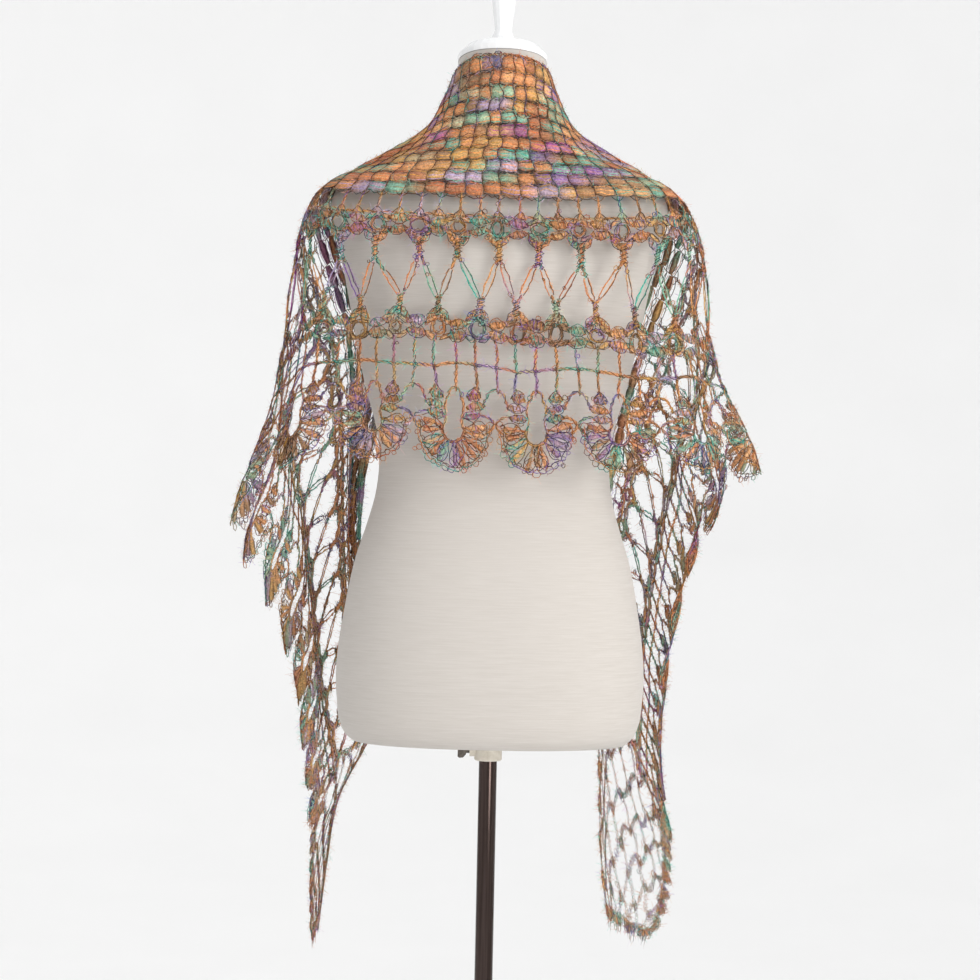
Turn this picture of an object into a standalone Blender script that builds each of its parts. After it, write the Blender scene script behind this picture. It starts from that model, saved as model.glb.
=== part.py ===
"""Crocheted lace shawl worn on a limbless dress form with a height adjustable round stand.

Units are metres. The origin is on the floor under the pole, +Z is up and +Y is the way the form faces,
so the back of the form faces -Y and +X is the wearer's right.
"""

import math

import bmesh
import bpy
import numpy as np
from mathutils import Matrix, Vector

COLLECTION = "lace_shawl_on_form"
CUTTERS = "lace_shawl_cutters"

# stand
FORM_Z = 0.80
GAP = 0.0003
RUNNING_GAP = 0.00006
POLE_R = 0.010
POLE_IN_FORM = 0.20
BORE_DEPTH = 0.35
BASE_R = 0.18
BASE_H = 0.014
BASE_EDGE = 0.004
SOCKET_R = 0.021
SOCKET_H = 0.034
SOCKET_FLOOR = 0.006
COLLAR_R = 0.0152
COLLAR_H = 0.021
BOSS_R = 0.0065
BOSS_END_X = -0.0205
SCREW_R = 0.003
SCREW_CLEAR = 0.00008
SCREW_DROP = 0.0105
SCREW_INNER_X = -0.0103
KNOB_START_X = -0.0245
KNOB_END_X = -0.0335
KNOB_HALF_WIDTH = 0.0085
KNOB_HALF_THICK = 0.0022
ROUND_SEGMENTS = 36
SMALL_SEGMENTS = 16

# dress form
FORM_SEGMENTS = 36
FORM_POWER = 2.3
NECK_Z = 0.746
NECK_TILT = 0.21
NECK_Y = 0.010
BUST_Z = 0.445
BUST_HEIGHT = 0.055
BUST_ANGLE = 0.62
BUST_WIDTH = 0.30
BUST_OUT = 0.016

# height above the form's bottom, half width, front depth, back depth, centre y
FORM_PROFILE = (
    (0.000, 0.1500, 0.0960, 0.1040, 0.000),
    (0.005, 0.1560, 0.1020, 0.1100, 0.000),
    (0.016, 0.1625, 0.1080, 0.1160, 0.000),
    (0.045, 0.1675, 0.1120, 0.1205, 0.000),
    (0.156, 0.1590, 0.1060, 0.1110, 0.000),
    (0.200, 0.1500, 0.1010, 0.1020, 0.000),
    (0.235, 0.1390, 0.0960, 0.0930, 0.000),
    (0.268, 0.1300, 0.0920, 0.0865, 0.000),
    (0.300, 0.1265, 0.0910, 0.0830, 0.000),
    (0.335, 0.1290, 0.0940, 0.0830, 0.000),
    (0.386, 0.1430, 0.1040, 0.0885, 0.000),
    (0.445, 0.1560, 0.1140, 0.0970, 0.000),
    (0.510, 0.1690, 0.1100, 0.1010, 0.000),
    (0.560, 0.1810, 0.0990, 0.0970, 0.000),
    (0.588, 0.1850, 0.0870, 0.0880, 0.000),
    (0.606, 0.1770, 0.0760, 0.0790, 0.002),
    (0.625, 0.1500, 0.0650, 0.0690, 0.004),
    (0.645, 0.1150, 0.0560, 0.0600, 0.006),
    (0.665, 0.0840, 0.0490, 0.0550, 0.008),
    (0.686, 0.0650, 0.0460, 0.0510, 0.010),
    (0.712, 0.0545, 0.0440, 0.0480, 0.010),
    (0.775, 0.0455, 0.0400, 0.0440, 0.010),
)
CAP_RINGS = ((0.0, 1.02), (0.006, 1.02), (0.014, 0.86), (0.020, 0.58), (0.023, 0.30))
FINIAL_RINGS = (
    (0.0000, 0.0140),
    (0.0040, 0.0130),
    (0.0130, 0.0092),
    (0.0250, 0.0105),
    (0.0450, 0.0130),
    (0.0620, 0.0120),
    (0.0720, 0.0060),
)

# cloth: posts are counted from the centre back, + to the wearer's right; rows run from 0 at the top edge to 1
CLOTH_THICK = 0.002
CLOTH_CLEAR = 0.0034
CLOTH_DROP = 0.0040
MAIN_END = 42
TAIL_END = 56
SEAM_POSTS = 0.012
TAIL_SEAM = 0.03
POST_HALF = 0.14
ROW_KNOTS = (0.0, 0.165, 0.33, 0.62, 1.0)
POST_STEP = 0.35
ROW_STEP = 0.012

# posts; then x y z above the form's bottom of the top edge, the yoke's end, the middle and the hem
RIGHT_STATIONS = (
    (3.6, 0.039, -0.039, 0.750, 0.072, -0.100, 0.597, 0.075, -0.114, 0.465, 0.080, -0.128, 0.288),
    (7.0, 0.055, 0.008, 0.726, 0.140, -0.088, 0.600, 0.148, -0.108, 0.460, 0.155, -0.124, 0.290),
    (10.4, 0.060, 0.058, 0.674, 0.190, -0.040, 0.602, 0.208, -0.078, 0.450, 0.232, -0.096, 0.294),
    (13.8, 0.068, 0.102, 0.605, 0.204, 0.020, 0.572, 0.236, -0.014, 0.430, 0.282, -0.030, 0.292),
    (18.5, 0.080, 0.140, 0.515, 0.176, 0.084, 0.462, 0.224, 0.048, 0.360, 0.238, 0.040, 0.226),
    (24.4, 0.090, 0.158, 0.410, 0.150, 0.128, 0.360, 0.206, 0.092, 0.270, 0.214, 0.082, 0.150),
    (30.0, 0.100, 0.158, 0.300, 0.134, 0.144, 0.254, 0.188, 0.120, 0.165, 0.200, 0.106, 0.056),
    (36.0, 0.112, 0.154, 0.180, 0.133, 0.147, 0.146, 0.176, 0.132, 0.060, 0.202, 0.118, -0.036),
    (42.0, 0.122, 0.150, 0.060, 0.1334, 0.1465, 0.038, 0.168, 0.136, -0.029, 0.214, 0.122, -0.118),
    (48.0, 0.128, 0.148, -0.055, 0.1386, 0.1454, -0.068, 0.172, 0.137, -0.109, 0.217, 0.126, -0.162),
    (53.0, 0.132, 0.144, -0.150, 0.143, 0.142, -0.158, 0.171, 0.136, -0.178, 0.212, 0.128, -0.205),
    (56.0, 0.140, 0.140, -0.212, 0.152, 0.138, -0.220, 0.170, 0.135, -0.230, 0.198, 0.130, -0.234),
)
CENTRE_STATION = (0.0, 0.0, -0.058, 0.757, 0.0, -0.101, 0.598, 0.0, -0.114, 0.468, 0.0, -0.126, 0.284)
LEFT_STATIONS = (
    (3.6, -0.039, -0.039, 0.750, -0.072, -0.100, 0.599, -0.075, -0.114, 0.470, -0.080, -0.128, 0.292),
    (7.0, -0.055, 0.008, 0.726, -0.140, -0.088, 0.600, -0.146, -0.108, 0.468, -0.152, -0.124, 0.300),
    (10.4, -0.060, 0.058, 0.674, -0.190, -0.040, 0.603, -0.204, -0.078, 0.458, -0.226, -0.096, 0.285),
    (13.8, -0.068, 0.102, 0.605, -0.204, 0.020, 0.573, -0.232, -0.014, 0.415, -0.274, -0.026, 0.228),
    (18.5, -0.080, 0.140, 0.520, -0.176, 0.086, 0.462, -0.236, 0.046, 0.340, -0.264, 0.032, 0.176),
    (24.4, -0.118, 0.156, 0.400, -0.172, 0.122, 0.352, -0.216, 0.088, 0.250, -0.236, 0.070, 0.108),
    (30.0, -0.150, 0.156, 0.285, -0.172, 0.138, 0.240, -0.202, 0.110, 0.150, -0.214, 0.088, 0.032),
    (36.0, -0.150, 0.158, 0.160, -0.163, 0.145, 0.126, -0.190, 0.116, 0.045, -0.207, 0.088, -0.040),
    (42.0, -0.128, 0.158, 0.020, -0.140, 0.145, 0.001, -0.1687, 0.1129, -0.046, -0.202, 0.076, -0.100),
    (48.0, -0.172, 0.150, -0.085, -0.1754, 0.142, -0.094, -0.187, 0.115, -0.125, -0.200, 0.084, -0.160),
    (53.0, -0.184, 0.142, -0.165, -0.186, 0.136, -0.171, -0.192, 0.117, -0.188, -0.199, 0.094, -0.208),
    (56.0, -0.190, 0.130, -0.222, -0.1915, 0.1255, -0.226, -0.194, 0.118, -0.232, -0.198, 0.106, -0.242),
)
# posts, how far the yoke's middle lies nearer the neck (a share), and how far it dips below its two edges
YOKE_HOLLOW = ((0.0, 0.12, 0.004), (8.0, 0.12, 0.006), (10.4, 0.08, 0.002), (13.8, -0.02, -0.010), (20.0, 0.0, 0.0))
# posts, depth of the upright folds at the hem, depth of the pleats along the front panels
FOLD_DEPTHS = (
    (0.0, 0.004, 0.000),
    (6.0, 0.006, 0.000),
    (10.0, 0.009, 0.000),
    (14.0, 0.012, 0.003),
    (19.0, 0.008, 0.011),
    (26.0, 0.003, 0.010),
    (34.0, 0.001, 0.007),
    (39.0, 0.000, 0.003),
    (42.0, 0.000, 0.000),
    (56.0, 0.000, 0.000),
)
FOLD_POSTS = 4.6
PLEATS = 2.5

# rows where each band of the pattern starts and ends
YOKE_ROWS = (0.0, 0.09, 0.19, 0.28, 0.352)
FILET_RAIL = 0.362
FILET_END = 0.404
SHELL_END = 0.457
NET_NODE = 0.512
NET_JOIN = 0.598
NET_END = 0.643
NET_CROTCH = 0.014
LOWER_SHELL_END = 0.700
LADDER_RAIL = 0.708
LADDER_END = 0.754
BORDER_END = 0.890
SCALLOP_LONG = 0.110
SCALLOP_SHORT = 0.018
SCALLOP_POSTS = 4
TAIL_COLUMNS = 4
TAIL_RAIL = 0.6
TAIL_STEM = 0.12
TAIL_SEAM_ROWS = 0.003
TAIL_HALF = 0.22
TAIL_ROWS = 3
# name, first and last post, half the gap between bands in rows
STRETCHES = (
    ("left_front_low", -42, -30, 0.0022),
    ("left_front_high", -30, -18, 0.0012),
    ("left_side", -18, -12, 0.0006),
    ("left_shoulder", -12, -6, 0.0005),
    ("back", -6, 6, 0.0005),
    ("right_shoulder", 6, 12, 0.0005),
    ("right_side", 12, 18, 0.0006),
    ("right_front_high", 18, 30, 0.0012),
    ("right_front_low", 30, 42, 0.0022),
)


def clear_scene():
    for obj in list(bpy.data.objects):
        bpy.data.objects.remove(obj, do_unlink=True)


def new_collection(name):
    group = bpy.data.collections.new(name)
    bpy.context.scene.collection.children.link(group)
    return group


def new_material(name, colour, roughness, metallic=0.0):
    mat = bpy.data.materials.new(name)
    mat.use_nodes = True
    shader = mat.node_tree.nodes["Principled BSDF"]
    shader.inputs["Base Color"].default_value = (*colour, 1.0)
    shader.inputs["Roughness"].default_value = roughness
    shader.inputs["Metallic"].default_value = metallic
    return mat


def slopes(knots, values):
    out = np.empty_like(values)
    step = np.diff(knots)[:, None]
    chord = np.diff(values, axis=0) / step
    out[0] = chord[0]
    out[-1] = chord[-1]
    out[1:-1] = (chord[:-1] * step[1:] + chord[1:] * step[:-1]) / (step[:-1] + step[1:])
    return out


def spline(knots, values, where):
    """Smooth curve through a table: knots (n), values (n, k), where (m) gives (m, k)."""
    knots = np.asarray(knots, float)
    values = np.asarray(values, float)
    tangent = slopes(knots, values)
    where = np.clip(where, knots[0], knots[-1])
    i = np.clip(np.searchsorted(knots, where, side="right") - 1, 0, len(knots) - 2)
    width = (knots[i + 1] - knots[i])[:, None]
    t = (where - knots[i])[:, None] / width
    a = (1 + 2 * t) * (1 - t) ** 2
    b = t * (1 - t) ** 2 * width
    c = t * t * (3 - 2 * t)
    d = t * t * (t - 1) * width
    return a * values[i] + b * tangent[i] + c * values[i + 1] + d * tangent[i + 1]


def form_section(height):
    """Half width, front depth, back depth and centre y at heights above the form's bottom."""
    table = np.array(FORM_PROFILE)
    return spline(table[:, 0], table[:, 1:], height)


def form_radius(angle, height):
    """Distance from the section's centre to the form's skin; angle 0 is +X and pi/2 the front."""
    section = form_section(height)
    cos = np.abs(np.cos(angle))
    sin = np.sin(angle)
    depth = np.where(sin > 0, section[:, 1], section[:, 2])
    skin = ((cos / section[:, 0]) ** FORM_POWER + (np.abs(sin) / depth) ** FORM_POWER) ** (-1 / FORM_POWER)
    rise = np.exp(-(((height - BUST_Z) / BUST_HEIGHT) ** 2))
    off = np.abs(angle - math.pi / 2)
    return skin + BUST_OUT * rise * np.exp(-(((off - BUST_ANGLE) / BUST_WIDTH) ** 2))


def station_table():
    """Posts, then the five control points of each column from the top edge to the hem."""
    left = [(-row[0],) + row[1:] for row in LEFT_STATIONS]
    table = np.array(left[::-1] + [CENTRE_STATION] + list(RIGHT_STATIONS))
    hollow = np.array(YOKE_HOLLOW)
    inward = np.interp(np.abs(table[:, 0]), hollow[:, 0], hollow[:, 1])
    dip = np.interp(np.abs(table[:, 0]), hollow[:, 0], hollow[:, 2])
    middle = (table[:, 1:4] + table[:, 4:7]) / 2
    middle[:, :2] *= (1 - inward)[:, None]
    middle[:, 2] -= dip
    return np.hstack((table[:, :4], middle, table[:, 4:]))


STATIONS = station_table()


def smooth_cloth(posts, rows):
    """The cloth's mid surface without folds, heights above the form's bottom."""
    control = spline(STATIONS[:, 0], STATIONS[:, 1:], posts).reshape(-1, 5, 3)
    knots = np.array(ROW_KNOTS)
    tangent = np.empty_like(control)
    step = np.diff(knots)[None, :, None]
    chord = np.diff(control, axis=1) / step
    tangent[:, 0] = chord[:, 0]
    tangent[:, -1] = chord[:, -1]
    tangent[:, 1:-1] = (chord[:, :-1] * step[:, 1:] + chord[:, 1:] * step[:, :-1]) / (step[:, :-1] + step[:, 1:])
    i = np.clip(np.searchsorted(knots, rows, side="right") - 1, 0, len(knots) - 2)
    n = np.arange(len(rows))
    width = (knots[i + 1] - knots[i])[:, None]
    t = (rows - knots[i])[:, None] / width
    a = (1 + 2 * t) * (1 - t) ** 2
    b = t * (1 - t) ** 2 * width
    c = t * t * (3 - 2 * t)
    d = t * t * (t - 1) * width
    return a * control[n, i] + b * tangent[n, i] + c * control[n, i + 1] + d * tangent[n, i + 1]


def fold_offset(posts, rows):
    table = np.array(FOLD_DEPTHS)
    hem = np.interp(np.abs(posts), table[:, 0], table[:, 1])
    pleat = np.interp(np.abs(posts), table[:, 0], table[:, 2])
    grow = np.clip((rows - 0.36) / 0.64, 0, 1.2) ** 1.3
    upright = hem * grow * np.cos(2 * math.pi * posts / FOLD_POSTS)
    swell = np.clip(rows / 0.3, 0, 1)
    phase = 2 * math.pi * PLEATS * rows + 0.03 * posts
    return upright + pleat * swell * np.sin(phase)


def push_out(points):
    """Moves points that would be in the form out to just clear of its skin."""
    height = points[:, 2] - CLOTH_DROP
    centre = form_section(np.clip(height, 0, None))[:, 3]
    dx = points[:, 0]
    dy = points[:, 1] - centre
    angle = np.arctan2(dy, dx)
    flat = np.hypot(dx, dy)
    skin = form_radius(angle, np.clip(height, 0, None)) + CLOTH_CLEAR
    inside = (flat < skin) & (height > -0.02)
    radius = np.where(inside, skin, flat)
    out = points.copy()
    out[:, 0] = radius * np.cos(angle)
    out[:, 1] = radius * np.sin(angle) + centre
    return out


def folded_cloth(posts, rows):
    """The cloth's mid surface with its folds, heights above the form's bottom."""
    base = smooth_cloth(posts, rows)
    along = smooth_cloth(posts + 0.05, rows) - smooth_cloth(posts - 0.05, rows)
    down = smooth_cloth(posts, rows + 0.004) - smooth_cloth(posts, rows - 0.004)
    normal = np.cross(down, along)
    normal /= np.linalg.norm(normal, axis=1)[:, None] + 1e-12
    return push_out(base + normal * fold_offset(posts, rows)[:, None])


def cloth_points(posts, rows, lift):
    """World positions at the given posts and rows, lift metres outwards from the mid surface."""
    posts = np.asarray(posts, float)
    rows = np.asarray(rows, float)
    along = folded_cloth(posts + POST_STEP, rows) - folded_cloth(posts - POST_STEP, rows)
    down = folded_cloth(posts, rows + ROW_STEP) - folded_cloth(posts, rows - ROW_STEP)
    normal = np.cross(down, along)
    normal /= np.linalg.norm(normal, axis=1)[:, None] + 1e-12
    out = folded_cloth(posts, rows) + normal * np.asarray(lift, float).reshape(-1, 1)
    return out + np.array((0.0, 0.0, FORM_Z))


def add_object(name, group, material, verts, faces):
    mesh = bpy.data.meshes.new(name)
    mesh.from_pydata([tuple(v) for v in verts], [], faces)
    mesh.update()
    bm = bmesh.new()
    bm.from_mesh(mesh)
    bmesh.ops.recalc_face_normals(bm, faces=bm.faces)
    bm.to_mesh(mesh)
    bm.free()
    mesh.materials.append(material)
    obj = bpy.data.objects.new(name, mesh)
    group.objects.link(obj)
    return obj


class Chart:
    """A flat drawing of the lace in posts and rows, one face for each solid patch."""

    def __init__(self):
        self.bm = bmesh.new()
        self.known = {}

    def vert(self, post, row):
        key = (round(post, 5), round(row, 6))
        if key not in self.known:
            self.known[key] = self.bm.verts.new((post, row, 0.0))
        return self.known[key]

    def face(self, *corners):
        self.bm.faces.new([self.vert(*c) for c in corners])

    def patch(self, post_a, post_b, row_a, row_b):
        self.face((post_a, row_a), (post_b, row_a), (post_b, row_b), (post_a, row_b))

    def clip(self, at, normal):
        geom = list(self.bm.verts) + list(self.bm.edges) + list(self.bm.faces)
        bmesh.ops.bisect_plane(self.bm, geom=geom, dist=1e-5, plane_co=at, plane_no=normal, clear_outer=True)

    def clip_posts(self, first, last):
        low, high = (TAIL_SEAM if abs(end) >= MAIN_END else SEAM_POSTS for end in (first, last))
        self.clip((first + low, 0, 0), (-1, 0, 0))
        self.clip((last - high, 0, 0), (1, 0, 0))

    def clip_rows(self, first, last, seam):
        self.clip((0, first + seam, 0), (0, -1, 0))
        self.clip((0, last - seam, 0), (0, 1, 0))

    def solid(self, name, group, material, diagonal="ALTERNATE"):
        """Turns the drawing into a wall of the cloth's thickness, its two faces lifted alike at every seam."""
        bmesh.ops.triangulate(self.bm, faces=self.bm.faces, quad_method=diagonal)
        self.bm.verts.index_update()
        flat = np.array([v.co[:2] for v in self.bm.verts])
        count = len(flat)
        outer = cloth_points(flat[:, 0], flat[:, 1], CLOTH_THICK / 2)
        inner = cloth_points(flat[:, 0], flat[:, 1], -CLOTH_THICK / 2)
        faces = []
        for face in self.bm.faces:
            ring = [v.index for v in face.verts]
            faces.append(ring)
            faces.append([i + count for i in reversed(ring)])
        for edge in self.bm.edges:
            if len(edge.link_faces) == 1:
                a, b = (v.index for v in edge.verts)
                faces.append([a, b, b + count])
                faces.append([a, b + count, a + count])
        self.bm.free()
        return add_object(name, group, material, np.vstack((outer, inner)), faces)


def rail(chart, first, last, row_a, row_b):
    """A closed row of stitches with an edge at each side of every post."""
    for post in range(first, last + 1):
        chart.patch(post - POST_HALF, post + POST_HALF, row_a, row_b)
        chart.patch(post + POST_HALF, post + 1 - POST_HALF, row_a, row_b)


def uprights(chart, first, last, row_a, row_b, step=1):
    for post in range(first, last + 1, step):
        chart.patch(post - POST_HALF, post + POST_HALF, row_a, row_b)


def knot_net(chart, first, last, rows, half, crotch, place):
    """One row of the open net: stems part into two legs that meet the neighbours' legs half a repeat on."""
    top, node, join, bottom = rows
    for k in range(first, last + 1, 2):
        lo, mid, hi = k - half, k, k + half
        chart.face(*[place(*c) for c in ((lo, top), (hi, top), (hi, node), (lo, node))])
        chart.face(*[place(*c) for c in ((lo, node), (hi, node), (mid, node + crotch))])
        for side in (-1, 1):
            near = k + side * half
            far = k + side * (1 - half)
            centre = k + side
            leg = ((near, node), (mid, node + crotch), (far, join), (centre, join - crotch))
            chart.face(*[place(*c) for c in leg])
    for m in range(first + 1, last + 1, 2):
        lo, mid, hi = m - half, m, m + half
        chart.face(*[place(*c) for c in ((lo, join), (hi, join), (mid, join - crotch))])
        chart.face(*[place(*c) for c in ((lo, join), (hi, join), (hi, bottom), (lo, bottom))])


def build_yoke(stretch, group, material):
    name, first, last, seam = stretch
    chart = Chart()
    for post in range(first, last):
        for row_a, row_b in zip(YOKE_ROWS[:-1], YOKE_ROWS[1:]):
            chart.patch(post, post + 1, row_a, row_b)
    chart.clip_posts(first, last)
    chart.clip_rows(-1, YOKE_ROWS[-1], seam)
    chart.solid("yoke_" + name, group, material, "FIXED" if first + last > 0 else "ALTERNATE")


def build_net(stretch, group, material):
    name, first, last, seam = stretch
    lo = first - 1
    chart = Chart()
    rail(chart, lo, last, YOKE_ROWS[-1], FILET_RAIL)
    uprights(chart, lo, last + 1, FILET_RAIL, FILET_END)
    rail(chart, lo, last, FILET_END, SHELL_END)
    even = 2 * ((lo - 1) // 2)
    rows = (SHELL_END, NET_NODE, NET_JOIN, NET_END)
    knot_net(chart, even, last + 3, rows, POST_HALF, NET_CROTCH, lambda a, b: (a, b))
    rail(chart, lo, last, NET_END, LOWER_SHELL_END)
    chart.clip_posts(first, last)
    chart.clip_rows(YOKE_ROWS[-1], LOWER_SHELL_END, seam)
    chart.solid("net_" + name, group, material)


def scallop_row(post):
    """The hem's row at a post: round fans that meet at short notches."""
    across = (post % SCALLOP_POSTS) / SCALLOP_POSTS * 2 - 1
    swell = math.sqrt(max(0.0, 1 - across * across))
    return BORDER_END + SCALLOP_SHORT + (SCALLOP_LONG - SCALLOP_SHORT) * swell


def build_border(stretch, group, material):
    name, first, last, seam = stretch
    lo = first - 1
    chart = Chart()
    rail(chart, lo, last, LOWER_SHELL_END, LADDER_RAIL)
    uprights(chart, lo, last + 1, LADDER_RAIL, LADDER_END)
    rail(chart, lo, last, LADDER_END, BORDER_END)
    for post in range(lo, last + 1):
        for a, b in ((post - POST_HALF, post + POST_HALF), (post + POST_HALF, post + 1 - POST_HALF)):
            chart.face((a, BORDER_END), (b, BORDER_END), (b, scallop_row(b)), (a, scallop_row(a)))
    chart.clip_posts(first, last)
    chart.clip_rows(LOWER_SHELL_END, 2, seam)
    chart.solid("border_" + name, group, material)


def tail_levels():
    """Posts where the tail's net has corners, shared by the strips along its edges."""
    start = MAIN_END + TAIL_RAIL
    length = (TAIL_END - MAIN_END - 2 * TAIL_RAIL) / TAIL_ROWS
    levels = [MAIN_END, start]
    for row in range(TAIL_ROWS):
        top = start + row * length
        levels += [top + part * length for part in (TAIL_STEM, 0.5, 1 - TAIL_STEM, 1)]
    return levels + [TAIL_END]


def build_tail(side, sign, group, material):
    start, end = MAIN_END, TAIL_END
    levels = tail_levels()
    for label, row_a, row_b in (("yoke", 0.0, YOKE_ROWS[-1]), ("border", BORDER_END, 1.0)):
        chart = Chart()
        for near, far in zip(levels[:-1], levels[1:]):
            lo, hi = sorted((sign * near, sign * far))
            chart.patch(lo, hi, row_a, row_b)
        lo, hi = sorted((sign * start, sign * (end + 1)))
        chart.clip_posts(lo, hi)
        chart.clip_rows(*((-1, row_b) if label == "yoke" else (row_a, 2)), TAIL_SEAM_ROWS)
        chart.solid("tail_%s_%s" % (side, label), group, material)
    build_tail_net(side, sign, group, material)


def build_tail_net(side, sign, group, material):
    start = MAIN_END + TAIL_RAIL
    end = TAIL_END - TAIL_RAIL
    width = (BORDER_END - YOKE_ROWS[-1]) / (2 * TAIL_COLUMNS)
    length = (end - start) / TAIL_ROWS
    chart = Chart()

    def place(across, along):
        return sign * along, YOKE_ROWS[-1] + width * across

    def bar(from_post, to_post):
        for k in range(-1, 2 * TAIL_COLUMNS + 1):
            for a, b in ((k - TAIL_HALF, k + TAIL_HALF), (k + TAIL_HALF, k + 1 - TAIL_HALF)):
                corners = ((a, from_post), (b, from_post), (b, to_post), (a, to_post))
                chart.face(*[place(*c) for c in corners])

    bar(MAIN_END, start)
    for row in range(TAIL_ROWS):
        top = start + row * length
        rows = (top, top + TAIL_STEM * length, top + (1 - TAIL_STEM) * length, top + length)
        first = -2 if row % 2 == 0 else -3
        knot_net(chart, first, 2 * TAIL_COLUMNS + 3, rows, TAIL_HALF, 0.10 * length, place)
    bar(end, TAIL_END)
    lo, hi = sorted((sign * MAIN_END, sign * (TAIL_END + 1)))
    chart.clip_posts(lo, hi)
    chart.clip_rows(YOKE_ROWS[-1], BORDER_END, TAIL_SEAM_ROWS)
    chart.solid("tail_%s_net" % side, group, material)


def build_shawl(group):
    wool = new_material("mohair_lace", (0.52, 0.27, 0.12), 0.9)
    for stretch in STRETCHES:
        build_yoke(stretch, group, wool)
        build_net(stretch, group, wool)
        build_border(stretch, group, wool)
    build_tail("right", 1, group, wool)
    build_tail("left", -1, group, wool)


def loft(rings, close_first=True, close_last=True):
    """Vertices and faces of a tube through rings of equal length."""
    size = len(rings[0])
    verts = [p for ring in rings for p in ring]
    faces = []
    for level in range(len(rings) - 1):
        for i in range(size):
            j = (i + 1) % size
            a = level * size
            faces.append([a + i, a + j, a + size + j, a + size + i])
    if close_first:
        faces.append(list(range(size))[::-1])
    if close_last:
        faces.append([(len(rings) - 1) * size + i for i in range(size)])
    return verts, faces


def turned(name, group, material, steps, segments, move=None):
    """A body of revolution about Z from (radius, height) steps."""
    rings = []
    for radius, height in steps:
        angles = [2 * math.pi * i / segments for i in range(segments)]
        rings.append([(radius * math.cos(a), radius * math.sin(a), height) for a in angles])
    verts, faces = loft(rings)
    if move is not None:
        verts = [tuple(move @ Vector(v)) for v in verts]
    return add_object(name, group, material, verts, faces)


def section_ring(height, scale=1.0):
    angles = np.array([2 * math.pi * i / FORM_SEGMENTS for i in range(FORM_SEGMENTS)])
    radius = form_radius(angles, np.full(FORM_SEGMENTS, height)) * scale
    centre = form_section(np.array([height]))[0, 3]
    return np.stack((radius * np.cos(angles), radius * np.sin(angles) + centre), axis=1)


def neck_plane(y):
    return NECK_Z - NECK_TILT * (y - NECK_Y)


def build_torso(group):
    linen = new_material("form_linen", (0.80, 0.77, 0.71), 0.85)
    angles = [2 * math.pi * i / FORM_SEGMENTS for i in range(FORM_SEGMENTS)]
    bore = POLE_R + RUNNING_GAP
    rings = []
    for height in (BORE_DEPTH, 0.0):
        rings.append([(bore * math.cos(a), bore * math.sin(a), FORM_Z + height) for a in angles])
    for row in FORM_PROFILE[:-1]:
        rings.append([(x, y, FORM_Z + row[0]) for x, y in section_ring(row[0])])
    rings.append([(x, y, FORM_Z + neck_plane(y)) for x, y in section_ring(NECK_Z)])
    verts, faces = loft(rings)
    return add_object("form_torso", group, linen, verts, faces)


def build_cap(group):
    gloss = new_material("gloss_white", (0.90, 0.90, 0.89), 0.18)
    rings = []
    for rise, scale in CAP_RINGS:
        ring = section_ring(NECK_Z, scale)
        rings.append([(x, y, FORM_Z + neck_plane(y) + GAP + rise) for x, y in ring])
    centre = np.mean([p[1] for p in rings[0]])
    rings = [[(x, centre + (y - np.mean([q[1] for q in r])), z) for x, y, z in r] for r in rings]
    verts, faces = loft(rings)
    add_object("neck_cap", group, gloss, verts, faces)
    return gloss, centre


def build_finial(group, gloss, centre):
    foot = FORM_Z + neck_plane(NECK_Y) + CAP_RINGS[-1][0] + 2 * GAP
    rings = []
    for rise, radius in FINIAL_RINGS:
        fade = max(0.0, 1 - rise / FINIAL_RINGS[3][0])
        ring = []
        for i in range(SMALL_SEGMENTS):
            angle = 2 * math.pi * i / SMALL_SEGMENTS
            y = radius * math.sin(angle)
            tilt = -NECK_TILT * fade * (centre + y - NECK_Y)
            ring.append((radius * math.cos(angle), centre + y, foot + rise + tilt))
        rings.append(ring)
    verts, faces = loft(rings)
    add_object("neck_finial", group, gloss, verts, faces)


def cutter(obj):
    obj.hide_render = True
    obj.display_type = "WIRE"
    return obj


def boolean(obj, tool, operation):
    mod = obj.modifiers.new(operation.lower(), "BOOLEAN")
    mod.operation = operation
    mod.solver = "EXACT"
    mod.object = tool


def along_x(at_x, at_z):
    """Turns a body made about Z to lie along -X, its start at at_x."""
    return Matrix.Translation((at_x, 0.0, at_z)) @ Matrix.Rotation(-math.pi / 2, 4, "Y")


def build_collar(group, tools):
    beige = new_material("collar_beige", (0.72, 0.68, 0.60), 0.45)
    top = FORM_Z - GAP
    low = top - COLLAR_H
    screw_z = top - SCREW_DROP
    bore = POLE_R + RUNNING_GAP
    edge = 0.0012
    steps = [(bore, low), (COLLAR_R - edge, low), (COLLAR_R, low + edge), (COLLAR_R, top), (bore, top)]
    rings = []
    for radius, height in steps + steps[:1]:
        angles = [2 * math.pi * i / ROUND_SEGMENTS for i in range(ROUND_SEGMENTS)]
        rings.append([(radius * math.cos(a), radius * math.sin(a), height) for a in angles])
    verts, faces = loft(rings[:-1], False, False)
    size = ROUND_SEGMENTS
    last = (len(rings) - 2) * size
    for i in range(size):
        j = (i + 1) % size
        faces.append([last + i, last + j, j, i])
    collar = add_object("pole_collar", group, beige, verts, faces)
    boss_start = -COLLAR_R + 0.003
    boss = turned("boss_tool", tools, beige, [(BOSS_R, 0.0), (BOSS_R, boss_start - BOSS_END_X)],
                  SMALL_SEGMENTS, along_x(boss_start, screw_z))
    hole_start = -POLE_R + 0.002
    hole = turned("screw_hole_tool", tools, beige,
                  [(SCREW_R + SCREW_CLEAR, 0.0), (SCREW_R + SCREW_CLEAR, 0.02)],
                  SMALL_SEGMENTS, along_x(hole_start, screw_z))
    boolean(collar, cutter(boss), "UNION")
    boolean(collar, cutter(hole), "DIFFERENCE")
    return screw_z


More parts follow.
